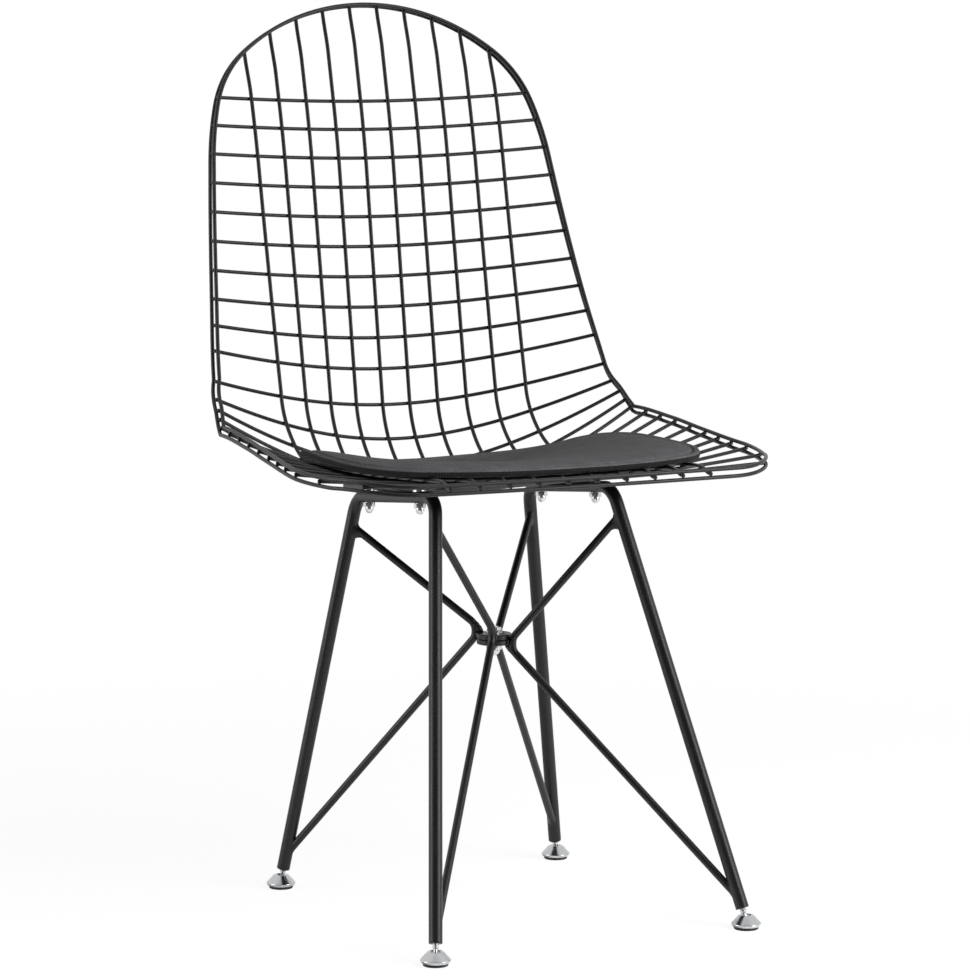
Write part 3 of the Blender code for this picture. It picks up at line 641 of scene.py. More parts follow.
for row in range(len(ROWS)):
    name = f"cross_wire_{row + 1:02d}"
    node = "seat_cradle" if row in ON_RAILS else name
    node = "rim_lower" if row == len(ROWS) - 1 else node
    make(name + "_bar", [cross_wire(row)], COAT, [node])
print("cross wires:", len(ROWS), "pitch mm:", np.round(-np.diff(ROWS) / MM, 1).tolist())

# %% [markdown]
# ## Long wires
# Ten wires run from the front edge over the seat and up to the top, 30 mm apart, on top of the cross
# wires.  They are pressed into them by the weld, so the two layers overlap by a hair.  Near its ends a
# long wire dips between the rims.

# %% The long wires
LONG_WIRES, LONG_PITCH = 10, 0.030
COLUMNS = (np.arange(LONG_WIRES) - (LONG_WIRES - 1) / 2.0) * LONG_PITCH
WELD_SINK = 0.25 * MM
LONG_LIFT = CROSS_LIFT + CROSS_R + WIRE_R - WELD_SINK
TOP_ENDS = np.interp(np.abs(COLUMNS), OUTLINE[: WIDEST + 1, 0], OUTLINE[: WIDEST + 1, 1])
FRONT_DIP, TOP_DIP = (0.003, 0.0155), (0.002, 0.044)


def eased(value, low, high):
    """Zero up to low, one from high, and a smooth S between."""
    u = np.clip((value - low) / (high - low), 0.0, 1.0)
    return u * u * (3.0 - 2.0 * u)


def long_wire(column):
    """A line along the sheet at one x, half a wire over the cross wires, dipping at both ends."""
    top = TOP_ENDS[column]
    station = np.linspace(-END_PAST_RIM, top + END_PAST_RIM, 321)
    raised = eased(station, *FRONT_DIP) * eased(top - station, *TOP_DIP)
    lift = CROSS_LIFT + (LONG_LIFT - CROSS_LIFT) * raised
    x = np.full(station.shape, COLUMNS[column])
    return rod(lifted(x, station, lift), WIRE_R, upward(x, station), sawn(WIRE_R), sawn(WIRE_R))


for column in range(LONG_WIRES):
    name = f"long_wire_{column + 1:02d}"
    make(name + "_bar", [long_wire(column)], COAT, [name])
print("long wires:", LONG_WIRES, "length mm:", np.round(TOP_ENDS / MM).tolist())

# %% [markdown]
# ## Welds of the shell
# Where two wires cross they were squeezed between electrodes until they fused, which pushes out a low
# ring of metal.  Each weld is a small flattened ball of a few dozen faces, half sunk between the wires,
# because there are hundreds of them.

# %% A bead at every crossing and every wire end
BEAD = (2.3 * MM, 2.3 * MM, 0.9 * MM)
END_BEAD = (1.5 * MM, 1.5 * MM, 2.6 * MM)


def beads(origins, across, along, normal, size):
    """Flattened balls: at an angle up from the equator, cos gives the width and sin the height."""
    rise = np.radians(np.array((-55.0, -20.0, 20.0, 55.0)))[:, None]
    turn = 2.0 * pi * np.arange(8) / 8.0
    ball = np.cos(rise)[..., None] * np.stack((np.cos(turn), np.sin(turn), 0.0 * turn), axis=-1)
    ball[..., 2] += np.sin(rise)
    ball = ball * size
    axes = np.stack((across, along, normal), axis=1)
    points = origins[:, None, None] + np.einsum("rcj,njk->nrck", ball, axes)
    tips = size[2] * normal
    return [closed(p, False, o - t, o + t) for p, o, t in zip(points, origins, tips)]


def sheet_beads(x, station, lift, size):
    """Beads that lie along the sheet at a height over it."""
    normal = upward(x, station)
    across = unit(np.cross((0.0, 1.0, 0.0), normal))
    return beads(lifted(x, station, lift), across, np.cross(normal, across), normal, size)


cross_x, cross_station = (grid.ravel() for grid in np.meshgrid(COLUMNS, ROWS))
reached = cross_station < np.repeat(TOP_ENDS[None], len(ROWS), axis=0).ravel() - TOP_DIP[1]
weld_lift = CROSS_LIFT + CROSS_R - WELD_SINK / 2.0
shell_welds = sheet_beads(cross_x[reached], cross_station[reached], weld_lift, BEAD)
rim_x = ROW_ENDS - 2.0 * END_PAST_RIM
for side in (-1.0, 1.0):
    shell_welds += sheet_beads(side * rim_x, ROWS, CROSS_LIFT, END_BEAD)
shell_welds += sheet_beads(COLUMNS, TOP_ENDS, CROSS_LIFT, END_BEAD)
shell_welds += sheet_beads(COLUMNS, np.zeros(LONG_WIRES), CROSS_LIFT, END_BEAD)
make("shell_welds", shell_welds, COAT, ["seat_cradle"])
print("welds:", len(shell_welds))

# %% [markdown]
# ## Rails under the seat
# Two flat bars are welded under the seat wires, and the leg frames bolt to them through short plated
# spacers.  A bar with round ends is a stadium outline; stacking the outline at a few heights, drawn in
# at the top and bottom, gives it broken edges.

# %% Line of a rail
SIDES = ((-1, "left"), (1, "right"))
RAIL_X, RAIL_WIDTH, RAIL_THICKNESS = 0.0935, 0.018, 0.0045
RAIL_SINK, SPACER, SPACER_D = 0.6 * MM, 1.8 * MM, 12.5 * MM
PAST_FRONT_WIRE, PAST_REAR_WIRE = 0.013, 0.007
rail_wires = lifted(RAIL_X, ROWS[[ON_RAILS[0], ON_RAILS[-1]]], CROSS_LIFT)
RAIL_ALONG = unit((rail_wires[1] - rail_wires[0]) * (0.0, 1.0, 1.0))
RAIL_UP = np.cross((-1.0, 0.0, 0.0), RAIL_ALONG)
RAIL_UP = RAIL_UP * np.sign(RAIL_UP[2])
RAIL_ORIGIN = rail_wires[0] - RAIL_UP * (CROSS_R - RAIL_SINK)


def on_rail(y, drop, side):
    """Point on a rail's middle line at a Y, some way under its top face."""
    point = RAIL_ORIGIN + RAIL_ALONG * (y - RAIL_ORIGIN[1]) / RAIL_ALONG[1] - RAIL_UP * drop
    return np.array((side * RAIL_X, point[1], point[2]))


# %% The rails
def rail(side, edge=0.7 * MM):
    """A stadium outline stacked at heights and drawn in by a little at the edges."""
    radius = RAIL_WIDTH / 2.0
    front = on_rail(rail_wires[1][1] - PAST_FRONT_WIRE + radius, 0.0, side)
    rear = on_rail(rail_wires[0][1] + PAST_REAR_WIRE - radius, 0.0, side)
    turn = np.linspace(0.0, pi, 17)[:, None]
    half = np.sin(turn) * RAIL_ALONG + np.cos(turn) * np.array((1.0, 0.0, 0.0))
    spokes = np.vstack((half, -half))
    middles = np.repeat((front, rear), len(turn), axis=0)
    layers = ((0.0, edge), (0.3 * edge, 0.3 * edge), (edge, 0.0))
    layers += tuple((RAIL_THICKNESS - drop, inset) for drop, inset in layers[::-1])
    points = [middles + (radius - inset) * spokes - drop * RAIL_UP for drop, inset in layers]
    centre = (front + rear) / 2.0
    return closed(np.array(points), False, centre, centre - RAIL_THICKNESS * RAIL_UP)


for side, hand in SIDES:
    make(f"seat_rail_{hand}", [rail(side)], COAT, ["seat_cradle"])
print("rail slope, degrees:", round(np.degrees(np.arcsin(RAIL_ALONG[2])), 2))

# %% [markdown]
# ## Leg frames
# Each side of the base is one steel bar, bent twice: up a leg, along under the rail and down the other
# leg.  The run under the rail was pressed flat above and below so that the rail and the nuts sit on
# it.  The bar's feet are drilled for the glide studs.

# %% Places of the bolts and legs
LEGS = [(end, side, f"{end}_{hand}") for side, hand in SIDES for end in ("front", "rear")]
LEG_R, FRAME_BEND_R, FRAME_FLAT = 6.35 * MM, 0.021, 1.0 * MM
FEET = {"front": (0.1642, -0.2435), "rear": (0.1538, 0.1223)}
CORNER_PAST_BOLT = {"front": -0.0336, "rear": 0.0262}
LEG_END_Z, STUD_R = 0.0195, 3.0 * MM
BOLT_AHEAD, SEAT_GAP = 0.0078, 0.3 * MM
BOLT_ROW = {"front": 19, "rear": 15}
BOLT_Y = {end: lifted(RAIL_X, ROWS[row], CROSS_LIFT)[1] - BOLT_AHEAD for end, row in BOLT_ROW.items()}
AXIS_DROP = RAIL_THICKNESS + SPACER + LEG_R - FRAME_FLAT


def leg_ends(end, side):
    """Foot on the floor and top corner of a leg's axis."""
    foot = np.array((side * FEET[end][0], FEET[end][1], 0.0))
    return foot, on_rail(BOLT_Y[end] + CORNER_PAST_BOLT[end], AXIS_DROP + SEAT_GAP, side)


def leg_point(end, side, z):
    """Point of a leg's axis at a height."""
    foot, corner = leg_ends(end, side)
    return foot + (corner - foot) * z / corner[2]


def leg_down(end, side):
    """Unit vector down a leg."""
    foot, corner = leg_ends(end, side)
    return unit(foot - corner)


# %% The frames
BORE_R, BORE_DEPTH = STUD_R + 0.3 * MM, 0.026
FLAT_IN, FLAT_EASE = 0.4 * FRAME_BEND_R, 8.0 * MM
LEG_SPOKES = 28


def leg_frame(side):
    """A bar along the bent path; over the run, no point of a circle stands further from its centre
    along the rail's normal than the pressed flat allows."""
    corners = [leg_point("front", side, LEG_END_Z), leg_ends("front", side)[1]]
    corners += [leg_ends("rear", side)[1], leg_point("rear", side, LEG_END_Z)]
    path = evenly(rounded(corners, (FRAME_BEND_R, FRAME_BEND_R)))
    ends = bored(LEG_R, BORE_R, BORE_DEPTH)
    across = np.array((1.0, 0.0, 0.0))
    vertices, quads, fans = rod(path, LEG_R, across, ends, ends, spokes=LEG_SPOKES)
    circles = vertices[:-2].reshape(-1, LEG_SPOKES, 3)
    centres = circles.mean(axis=1, keepdims=True)
    y = centres[..., 1]
    front, rear = corners[1][1] + FLAT_IN, corners[2][1] - FLAT_IN
    pressed = eased(y, front - FLAT_EASE, front + FLAT_EASE)
    pressed = pressed * eased(-y, -rear - FLAT_EASE, FLAT_EASE - rear)
    reach = LEG_R - FRAME_FLAT * pressed
    height = (circles - centres) @ RAIL_UP
    excess = height - np.clip(height, -reach, reach)
    vertices[:-2] = (circles - excess[..., None] * RAIL_UP).reshape(-1, 3)
    return vertices, quads, fans


for side, hand in SIDES:
    make(f"leg_frame_{hand}_bar", [leg_frame(side)], COAT, [f"leg_frame_{hand}"])
print("bolts at y:", BOLT_Y)

# %% [markdown]
# ## Struts and hub
# Four thinner rods tie the legs together.  Each goes from the top of a leg to the hub and back down to
# the foot of the same leg, so it is a V lying on its side.  Its ends are butted against the leg and
# welded, and the point of the V is welded to the rim of the hub, which is two thick washers with a bolt
# through them.  The left struts hold the upper washer and the right struts the lower one, so the base
# comes apart in two halves.  A weld that was ground and painted is a smooth web, so it is worked out as
# one: a row of curves from the rod's skin to the leg's skin, all round the line where the two meet.

# %% Path of a strut
STRUT_R, STRUT_BEND_R = 3.75 * MM, 0.011
STRUT_TOP_Z = {"front": 0.3758, "rear": 0.357}
STRUT_LOW_Z = {"front": 0.047, "rear": 0.051}
VERTEX_RISE = {-1: 0.0065, 1: -0.004}
BEARING = {"front": radians(-123.0), "rear": radians(126.0)}
VERTEX_HEIGHT = 0.012
HUB = np.array((0.0, -0.0395, 0.2593))
HUB_R, HUB_PLATE, RIM_SINK = 16.7 * MM, 5.0 * MM, 0.2 * MM
UP = np.array((0.0, 0.0, 1.0))


def strut_corners(end, side):
    """The two ends, on the leg's axis, with the two corners at the hub between them; and the way out
    from the hub.  Each run passes the leg at its own height, touching the leg's skin there."""
    out = np.array((side * abs(cos(BEARING[end])), sin(BEARING[end]), 0.0))
    vertex = HUB + (HUB_R + STRUT_R - RIM_SINK) * out + VERTEX_RISE[side] * UP
    corners = [vertex + VERTEX_HEIGHT / 2.0 * UP, vertex - VERTEX_HEIGHT / 2.0 * UP]
    down = leg_down(end, side)
    ends = []
    for z, corner in zip((STRUT_TOP_Z[end], STRUT_LOW_Z[end]), corners):
        inward = corner - leg_point(end, side, z)
        inward = unit(inward - down * (inward @ down))
        beside = leg_point(end, side, z) + inward * (LEG_R + STRUT_R)
        ahead = unit(beside - corner)
        ends.append(beside + ahead * (LEG_R + STRUT_R) / -(ahead @ inward))
    return [ends[0], corners[0], corners[1], ends[1]], out


# %% Welds of a strut
WEB_AROUND, WEB_SINK = 40, 0.05 * MM
RIM_BEAD_HALF, RIM_BEAD_ASIDE, RIM_BEAD_R = 3.2 * MM, 3.0 * MM, 1.9 * MM
THICK_UP_STRUT, THICK_IN_HUB, THICK_SINK, THICK_R = 8.0 * MM, 5.0 * MM, 1.5 * MM, 3.5 * MM


def weld_web(end, side, tip, corner, least, up_rod, down_leg):
    """A web from a strut to its leg.

    A line on the strut's skin leaves the leg where its distance from the leg's axis is the leg's
    radius, which is a quadratic in the way along the strut.  From a little up the strut, a quadratic
    curve pulled towards that point goes to a little along the leg; both lengths grow from the least
    length downwards.
    """
    down, ahead = leg_down(end, side), unit(corner - tip)
    below = unit(down - ahead * (down @ ahead))
    turn = 2.0 * pi * np.arange(WEB_AROUND)[:, None] / WEB_AROUND
    spoke = np.cos(turn) * below + np.sin(turn) * np.cross(ahead, below)
    square = spoke - (spoke @ down)[:, None] * down
    slant = ahead - (ahead @ down) * down
    b = STRUT_R * square @ slant
    c = STRUT_R**2 * np.sum(square**2, axis=1) - LEG_R**2
    way = (-b + np.sqrt(b**2 - c * (slant @ slant))) / (slant @ slant)
    meet = STRUT_R * spoke + way[:, None] * ahead
    skin = unit(meet - (meet @ down)[:, None] * down)
    along = unit(spoke - np.sum(spoke * skin, axis=1, keepdims=True) * skin)
    lower = 0.5 + 0.5 * np.cos(turn)
    start = meet + (least + up_rod * lower**2) * ahead - WEB_SINK * spoke
    stop = meet + (least + down_leg * lower**2) * along
    on_axis = (stop @ down)[:, None] * down
    stop = on_axis + (LEG_R - WEB_SINK) * unit(stop - on_axis)
    control = 0.7 * (start + stop) / 2.0 + 0.3 * meet
    share = np.linspace(0.0, 1.0, 7)[:, None, None]
    web = (1.0 - share) ** 2 * start + 2.0 * share * (1.0 - share) * control + share**2 * stop
    return closed(tip + web, False, tip + ahead * way.mean(), tip)


def weld_run(path, lean, radius, ripple=1.7 * MM):
    """A weld bead: a rod that swells from its ends and is ribbed by the arc's steps."""
    along = np.linspace(0.0, 1.0, len(path))
    length = np.linalg.norm(path[-1] - path[0])
    swell = np.sqrt(np.clip(4.0 * along * (1.0 - along), 0.02, 1.0))
    ribs = 1.0 + 0.05 * np.cos(2.0 * pi * along * length / ripple)
    return rod(path, radius * swell * ribs, lean, spokes=12)


def hub_welds(side, out, corner, tip):
    """A bead each side of the strut on the hub's rim, and a thick one from the strut's run to the hub's
    face, a quadratic curve pulled into the bend: over the hub on the left, under it on the right."""
    way = np.sign(VERTEX_RISE[side])
    across = np.cross(out, UP)
    share = np.linspace(-1.0, 1.0, 17)[:, None]
    middle = HUB + (HUB_R - RIM_SINK) * out + way * HUB_PLATE / 2.0 * UP
    upright = middle + share * RIM_BEAD_HALF * UP
    rim_beads = [upright + hand * RIM_BEAD_ASIDE * across for hand in (-1.0, 1.0)]
    upper = corner + THICK_UP_STRUT * unit(tip - corner)
    face = HUB + (HUB_R - THICK_IN_HUB) * out + way * (HUB_PLATE - THICK_SINK) * UP
    share = (share + 1.0) / 2.0
    thick = (1.0 - share) ** 2 * upper + 2.0 * share * (1.0 - share) * corner + share**2 * face
    welds = [weld_run(bead, out, RIM_BEAD_R) for bead in rim_beads]
    return welds + [weld_run(thick, across, THICK_R)]


# %% The struts
UPPER_WEB = (2.4 * MM, 5.0 * MM, 3.0 * MM)
LOWER_WEB = (0.8 * MM, 2.5 * MM, 1.0 * MM)
for end, side, place in LEGS:
    corners, out = strut_corners(end, side)
    path = evenly(rounded(corners, (STRUT_BEND_R, STRUT_BEND_R)))
    bar = rod(path, STRUT_R, np.cross(corners[0] - corners[1], corners[3] - corners[2]))
    welds = [weld_web(end, side, corners[0], corners[1], *UPPER_WEB)]
    welds += [weld_web(end, side, corners[3], corners[2], *LOWER_WEB)]
    held = corners[:2] if side < 0 else corners[:1:-1]
    welds += hub_welds(side, out, held[1], held[0])
    make(f"strut_{place}_rod", [bar], COAT, [f"strut_{place}"])
    make(f"strut_{place}_welds", welds, COAT, [f"strut_{place}"])

# %% Hub plates
def disc(radius, low, high, edge):
    """Profile of a flat disc with broken edges."""
    return [(radius - edge, low), (radius, low + edge), (radius, high - edge), (radius - edge, high)]


for name, low in (("upper", 0.1 * MM), ("lower", -0.1 * MM - HUB_PLATE)):
    node = f"hub_plate_{name}"
    plate = turned(disc(HUB_R, low, low + HUB_PLATE, 0.6 * MM), HUB, UP, 96)
    make(f"{node}_disc", [plate], COAT, [node])

# %% [markdown]
# ## Bolts and dome nuts
# The seat and the hub are bolted up with hexagon nuts that end in a dome, plated so that they can be
# seen.  A nut is turned from hexagon bar: its profile has a washer face, a chamfer and a dome, and the
# flats cut the profile where it is wider than the bar.

# %% Profiles of nuts and heads
def dome_nut(flats, hexagon, height):
    """Washer face, hexagon with chamfered corners, then a dome on a short neck."""
    corner = flats / 2.0 / cos(pi / 6.0)
    chamfer = 0.35 * (corner - flats / 2.0) + 0.35 * MM
    face_r, dome_r = 0.47 * flats, 0.43 * flats
    neck = hexagon + 0.12 * (height - hexagon)
    face = [(0.2 * corner, 0.0), (face_r, 0.0), (face_r, 0.25 * MM), (corner - chamfer, 0.3 * MM)]
    sides = [(corner, 0.3 * MM + 0.6 * chamfer), (corner, hexagon - 0.6 * chamfer)]
    angles = np.linspace(0.0, 0.48 * pi, 10)
    dome = [(dome_r * cos(a), neck + (height - neck) * sin(a)) for a in angles]
    return face + sides + [(corner - chamfer, hexagon), (dome_r, hexagon)] + dome


def socket_head(head_d, height, socket):
    """Button head with a hexagon socket, from under the head over the crown and into the socket."""
    radius = head_d / 2.0
    angles = np.linspace(0.0, 0.35 * pi, 8)
    crown = [(radius * cos(a), 0.35 * height + 0.65 * height * sin(a)) for a in angles]
    return [(0.3 * radius, 0.0), (radius, 0.0)] + crown + [(socket, height * 0.93), (socket, height * 0.35)]


# %% Seat bolts, spacers and nuts
BOLT_R = 3.0 * MM
SEAT_HEAD = (9.5 * MM, 2.6 * MM, 2.0 * MM)
SEAT_NUT = (10.0 * MM, 4.8 * MM, 10.8 * MM)
STACK = AXIS_DROP + LEG_R - FRAME_FLAT + SEAT_GAP


def seat_bolt(end, side):
    """Button head on the rail and a shank down into the nut."""
    top = on_rail(BOLT_Y[end], 0.0, side)
    head = turned(socket_head(*SEAT_HEAD), top, RAIL_UP)
    shank = [(BOLT_R, 0.0), (BOLT_R, -STACK - 4.0 * MM), (0.8 * BOLT_R, -STACK - 4.6 * MM)]
    return [head, turned(shank, top, RAIL_UP, 24)]


for end, side, place in LEGS:
    make(f"seat_bolt_{place}_screw", seat_bolt(end, side), ZINC, [f"seat_bolt_{place}"])
    under = on_rail(BOLT_Y[end], RAIL_THICKNESS + SPACER + SEAT_GAP, side)
    collar = disc(SPACER_D / 2.0, 0.0, SPACER + SEAT_GAP, 0.25 * MM)
    make(f"seat_spacer_{place}", [turned(collar, under, RAIL_UP)], ZINC, ["seat_cradle"])
    seat = on_rail(BOLT_Y[end], STACK, side)
    nut = turned(dome_nut(*SEAT_NUT), seat, -RAIL_UP, 48, SEAT_NUT[0])
    make(f"dome_nut_{place}_cap", [nut], NICKEL, [f"dome_nut_{place}"])

# %% Hub bolt and nut
WASHER_R, WASHER = 8.0 * MM, 1.6 * MM
HUB_NUT = (13.0 * MM, 5.5 * MM, 11.5 * MM)
HUB_HEAD_FLATS, HUB_SHANK_R, HUB_SHANK = 12.0 * MM, 4.0 * MM, 14.0 * MM
washer = turned(disc(WASHER_R, HUB_PLATE, HUB_PLATE + WASHER, 0.3 * MM), HUB, UP)
head_seat = HUB + UP * (HUB_PLATE + WASHER)
head_profile = [(3.0 * MM, 0.0), (6.0 * MM, 0.0), (7.2 * MM, 0.5 * MM), (7.2 * MM, 3.4 * MM)]
head_profile += [(6.4 * MM, 4.2 * MM), (5.2 * MM, 4.7 * MM), (3.0 * MM, 4.8 * MM)]
hub_head = turned(head_profile, head_seat, UP, 48, HUB_HEAD_FLATS)
hub_shank = turned([(HUB_SHANK_R, 0.0), (HUB_SHANK_R, -HUB_SHANK)], head_seat, UP, 24)
make("hub_bolt_screw", [washer, hub_head, hub_shank], ZINC, ["hub_bolt"])
hub_nut = turned(dome_nut(*HUB_NUT), HUB - UP * HUB_PLATE, -UP, 48, HUB_NUT[0])
make("hub_nut_cap", [hub_nut], NICKEL, ["hub_nut"])

# %% [markdown]
# ## Glides
# Each leg stands on a levelling glide: a threaded stud with a ball end, a polished cup that tilts on
# the ball, and a plastic pad under the cup.  The stud's thread is a helix, which one formula gives: the
# radius of the turned surface rises and falls with height over pitch less the angle.

# %% Stud
BALL_Z, BALL_R, SOCKET_R = 8.0 * MM, 3.6 * MM, 4.1 * MM
NECK_R, NECK, STUD_IN_LEG = 1.9 * MM, 7.8 * MM, 0.022
THREAD_PITCH, THREAD_DEPTH, STUD_SPOKES = 1.0 * MM, 0.5 * MM, 36


def glide_stud(end, side):
    """Ball, neck and thread about the leg's axis; on the thread the radius goes as the cosine of
    height over pitch less the angle."""
    ball = leg_point(end, side, BALL_Z)
    axis = -leg_down(end, side)
    length = np.linalg.norm(leg_point(end, side, LEG_END_Z) - ball) + STUD_IN_LEG
    to_neck = np.degrees(acos(NECK_R / BALL_R))
    outline = arc((0.0, 0.0), BALL_R, -88.0, to_neck, 12)
    outline += arc((NECK_R + 1.2 * MM, NECK - 1.4 * MM), 1.2 * MM, 180.0, 110.0, 5)
    outline += [(STUD_R - 0.5 * MM, NECK + 0.2 * MM), (STUD_R - 0.1 * MM, NECK + 0.6 * MM)]
    height = np.arange(NECK + 1.0 * MM, length, THREAD_PITCH / 6.0)
    outline += [(STUD_R, z) for z in height]
    vertices, quads, fans = turned(outline, ball, axis, STUD_SPOKES)
    rings = (vertices[:-2] - ball).reshape(len(outline), STUD_SPOKES, 3)
    z = rings @ axis
    spoke = rings - z[..., None] * axis
    turn = 2.0 * pi * np.arange(STUD_SPOKES) / STUD_SPOKES
    groove = THREAD_DEPTH / 2.0 * (1.0 - np.cos(2.0 * pi * z / THREAD_PITCH - turn))
    groove = groove * eased(z, NECK + 0.8 * MM, NECK + 2.0 * MM)
    spoke = spoke - unit(spoke) * groove[..., None]
    vertices[:-2] = (ball + spoke + z[..., None] * axis).reshape(-1, 3)
    return vertices, quads, fans


# %% Cup and pad
CUP_R, CUP_TOP_R, MOUTH_R, THROAT_R = 14.3 * MM, 7.6 * MM, 5.2 * MM, 3.4 * MM
CUP_TOP, CUP_WIDEST, CUP_BOTTOM = 13.2 * MM, 5.2 * MM, 2.6 * MM
PAD_R = 11.6 * MM


def glide_cup(end, side):
    """From the base over the rolled rim, up the cone, over the lip and down into the socket."""
    origin = leg_point(end, side, BALL_Z) * (1.0, 1.0, 0.0)
    outline = [(0.5 * CUP_R, CUP_BOTTOM), (0.86 * CUP_R, CUP_BOTTOM), (0.90 * CUP_R, CUP_BOTTOM + 0.2 * MM)]
    roll = 0.9 * MM
    outline += arc((CUP_R - roll, CUP_WIDEST), roll, -50.0, 48.0, 9)
    outline += arc((CUP_TOP_R - 0.9 * MM, CUP_TOP - 1.0 * MM), 1.0 * MM, 45.0, 95.0, 7)
    outline += [(MOUTH_R + 0.3 * MM, CUP_TOP), (MOUTH_R, CUP_TOP - 0.3 * MM)]
    first = np.degrees(acos(THROAT_R / SOCKET_R))
    outline += arc((0.0, BALL_Z), SOCKET_R, first, -88.0, 16)
    return turned(outline, origin, UP, 72)


def glide_pad(end, side):
    """A disc with a bevelled foot and a shallow hollow underneath."""
    origin = leg_point(end, side, BALL_Z) * (1.0, 1.0, 0.0)
    outline = [(0.75 * PAD_R, 0.4 * MM), (0.80 * PAD_R, 0.0), (0.95 * PAD_R, 0.0), (PAD_R, 0.5 * MM)]
    outline += [(PAD_R, CUP_BOTTOM - 0.3 * MM), (PAD_R - 0.3 * MM, CUP_BOTTOM)]
    return turned(outline, origin, UP, 64)


for end, side, place in LEGS:
    screw, shell, sole = glide_stud(end, side), glide_cup(end, side), glide_pad(end, side)
    stud, cup, pad = f"glide_stud_{place}", f"glide_cup_{place}", f"glide_pad_{place}"
    make(f"{stud}_screw", [screw], ZINC, [stud], f"stud_{place}")
    make(f"{cup}_shell", [shell], CHROME, [cup], f"foot_{place}")
    make(f"{pad}_disc", [sole], GLIDE_PLASTIC, [pad], f"foot_{place}")

# %% [markdown]
# ## Seat pad
# A thin foam pad lies loose on the wires.  Its outline is half a squarish ellipse in front and half a
# rounder one behind, and its lift is measured from the sheet, so it dishes with the seat.  The edge is
# bound with a strip, and inside the strip a seam pulls the cover down.  The cover between the seams is
# a real cloth: it is blown up a little by a simulation, which gives it its fullness, and the binding is
# built round it afterwards.

# %% Outline of the pad
PAD_HALF_WIDTH, PAD_WIDEST, PAD_FRONT, PAD_BACK = 0.184, 0.140, 0.018, 0.367
SQUARE_FRONT, SQUARE_BACK = 3.4, 2.3
PAD_COLUMNS = 240


def pad_outline():
    """x and station round the edge: cos and sin of an angle, each raised to two over the squareness,
    then spaced evenly along the edge; and the unit inward direction at each point."""
    angle = np.linspace(0.0, 2.0 * pi, 6001)
    front = np.sin(angle) < 0.0
    power = np.where(front, 2.0 / SQUARE_FRONT, 2.0 / SQUARE_BACK)
    reach = np.where(front, PAD_WIDEST - PAD_FRONT, PAD_BACK - PAD_WIDEST)
    x = PAD_HALF_WIDTH * np.sign(np.cos(angle)) * np.abs(np.cos(angle)) ** power
    y = reach * np.sign(np.sin(angle)) * np.abs(np.sin(angle)) ** power
    along = np.concatenate(([0.0], np.cumsum(np.hypot(np.diff(x), np.diff(y)))))
    places = np.arange(PAD_COLUMNS) * along[-1] / PAD_COLUMNS
    edge = np.stack((np.interp(places, along, x), np.interp(places, along, y)), axis=1)
    ahead = unit(np.roll(edge, -1, axis=0) - np.roll(edge, 1, axis=0))
    inward = np.stack((-ahead[:, 1], ahead[:, 0]), axis=1)
    return edge, inward, along[-1]


PAD_EDGE, PAD_INWARD, PAD_GIRTH = pad_outline()

# %% Places and heights on the pad
SEAM_IN, FIELD_IN = 7.6 * MM, 13.0 * MM
PAD_BASE = LONG_LIFT + WIRE_R + 0.4 * MM
EDGE_RISE, CROWN, CROWN_POWER = 6.5 * MM, 6.0 * MM, 2.5


def pad_points(flat, lift):
    """Places (x, y) laid flat about the middle of the pad, put over the sheet at a lift."""
    return lifted(flat[..., 0], PAD_WIDEST + flat[..., 1], lift)


def band(inset):
    """The outline drawn in by a distance."""
    return PAD_EDGE + inset * PAD_INWARD


def field(share):
    """The outline of the field, shrunk to a share of itself."""
    return share * band(FIELD_IN)


# %% The cover, blown up as cloth
COVER_SHARES = (1.0 - np.linspace(0.0, 1.0, 36) ** 1.15)[:-1]
SEAM_RISE = 5.7 * MM
PUFF_LIMIT = 4.0 * MM
FRAMES, CALM = 20, 12


def cover_grid():
    """Rows of the cover from the seam to the middle: first the strip beside the seam, then the
    shrinking field, crowned by one less its share to a power."""
    flats = [band(SEAM_IN), band(SEAM_IN + 0.9 * MM), band(SEAM_IN + 2.4 * MM)]
    lifts = [SEAM_RISE, SEAM_RISE + 1.3 * MM, SEAM_RISE + 2.3 * MM]
    edge_share = 1.0 - FIELD_IN / PAD_HALF_WIDTH
    flats += [field(share) for share in COVER_SHARES]
    lifts += [EDGE_RISE + CROWN * (1.0 - (edge_share * share) ** CROWN_POWER) for share in COVER_SHARES]
    flats = np.array(flats)
    return flats, pad_points(flats, PAD_BASE + np.array(lifts)[:, None])


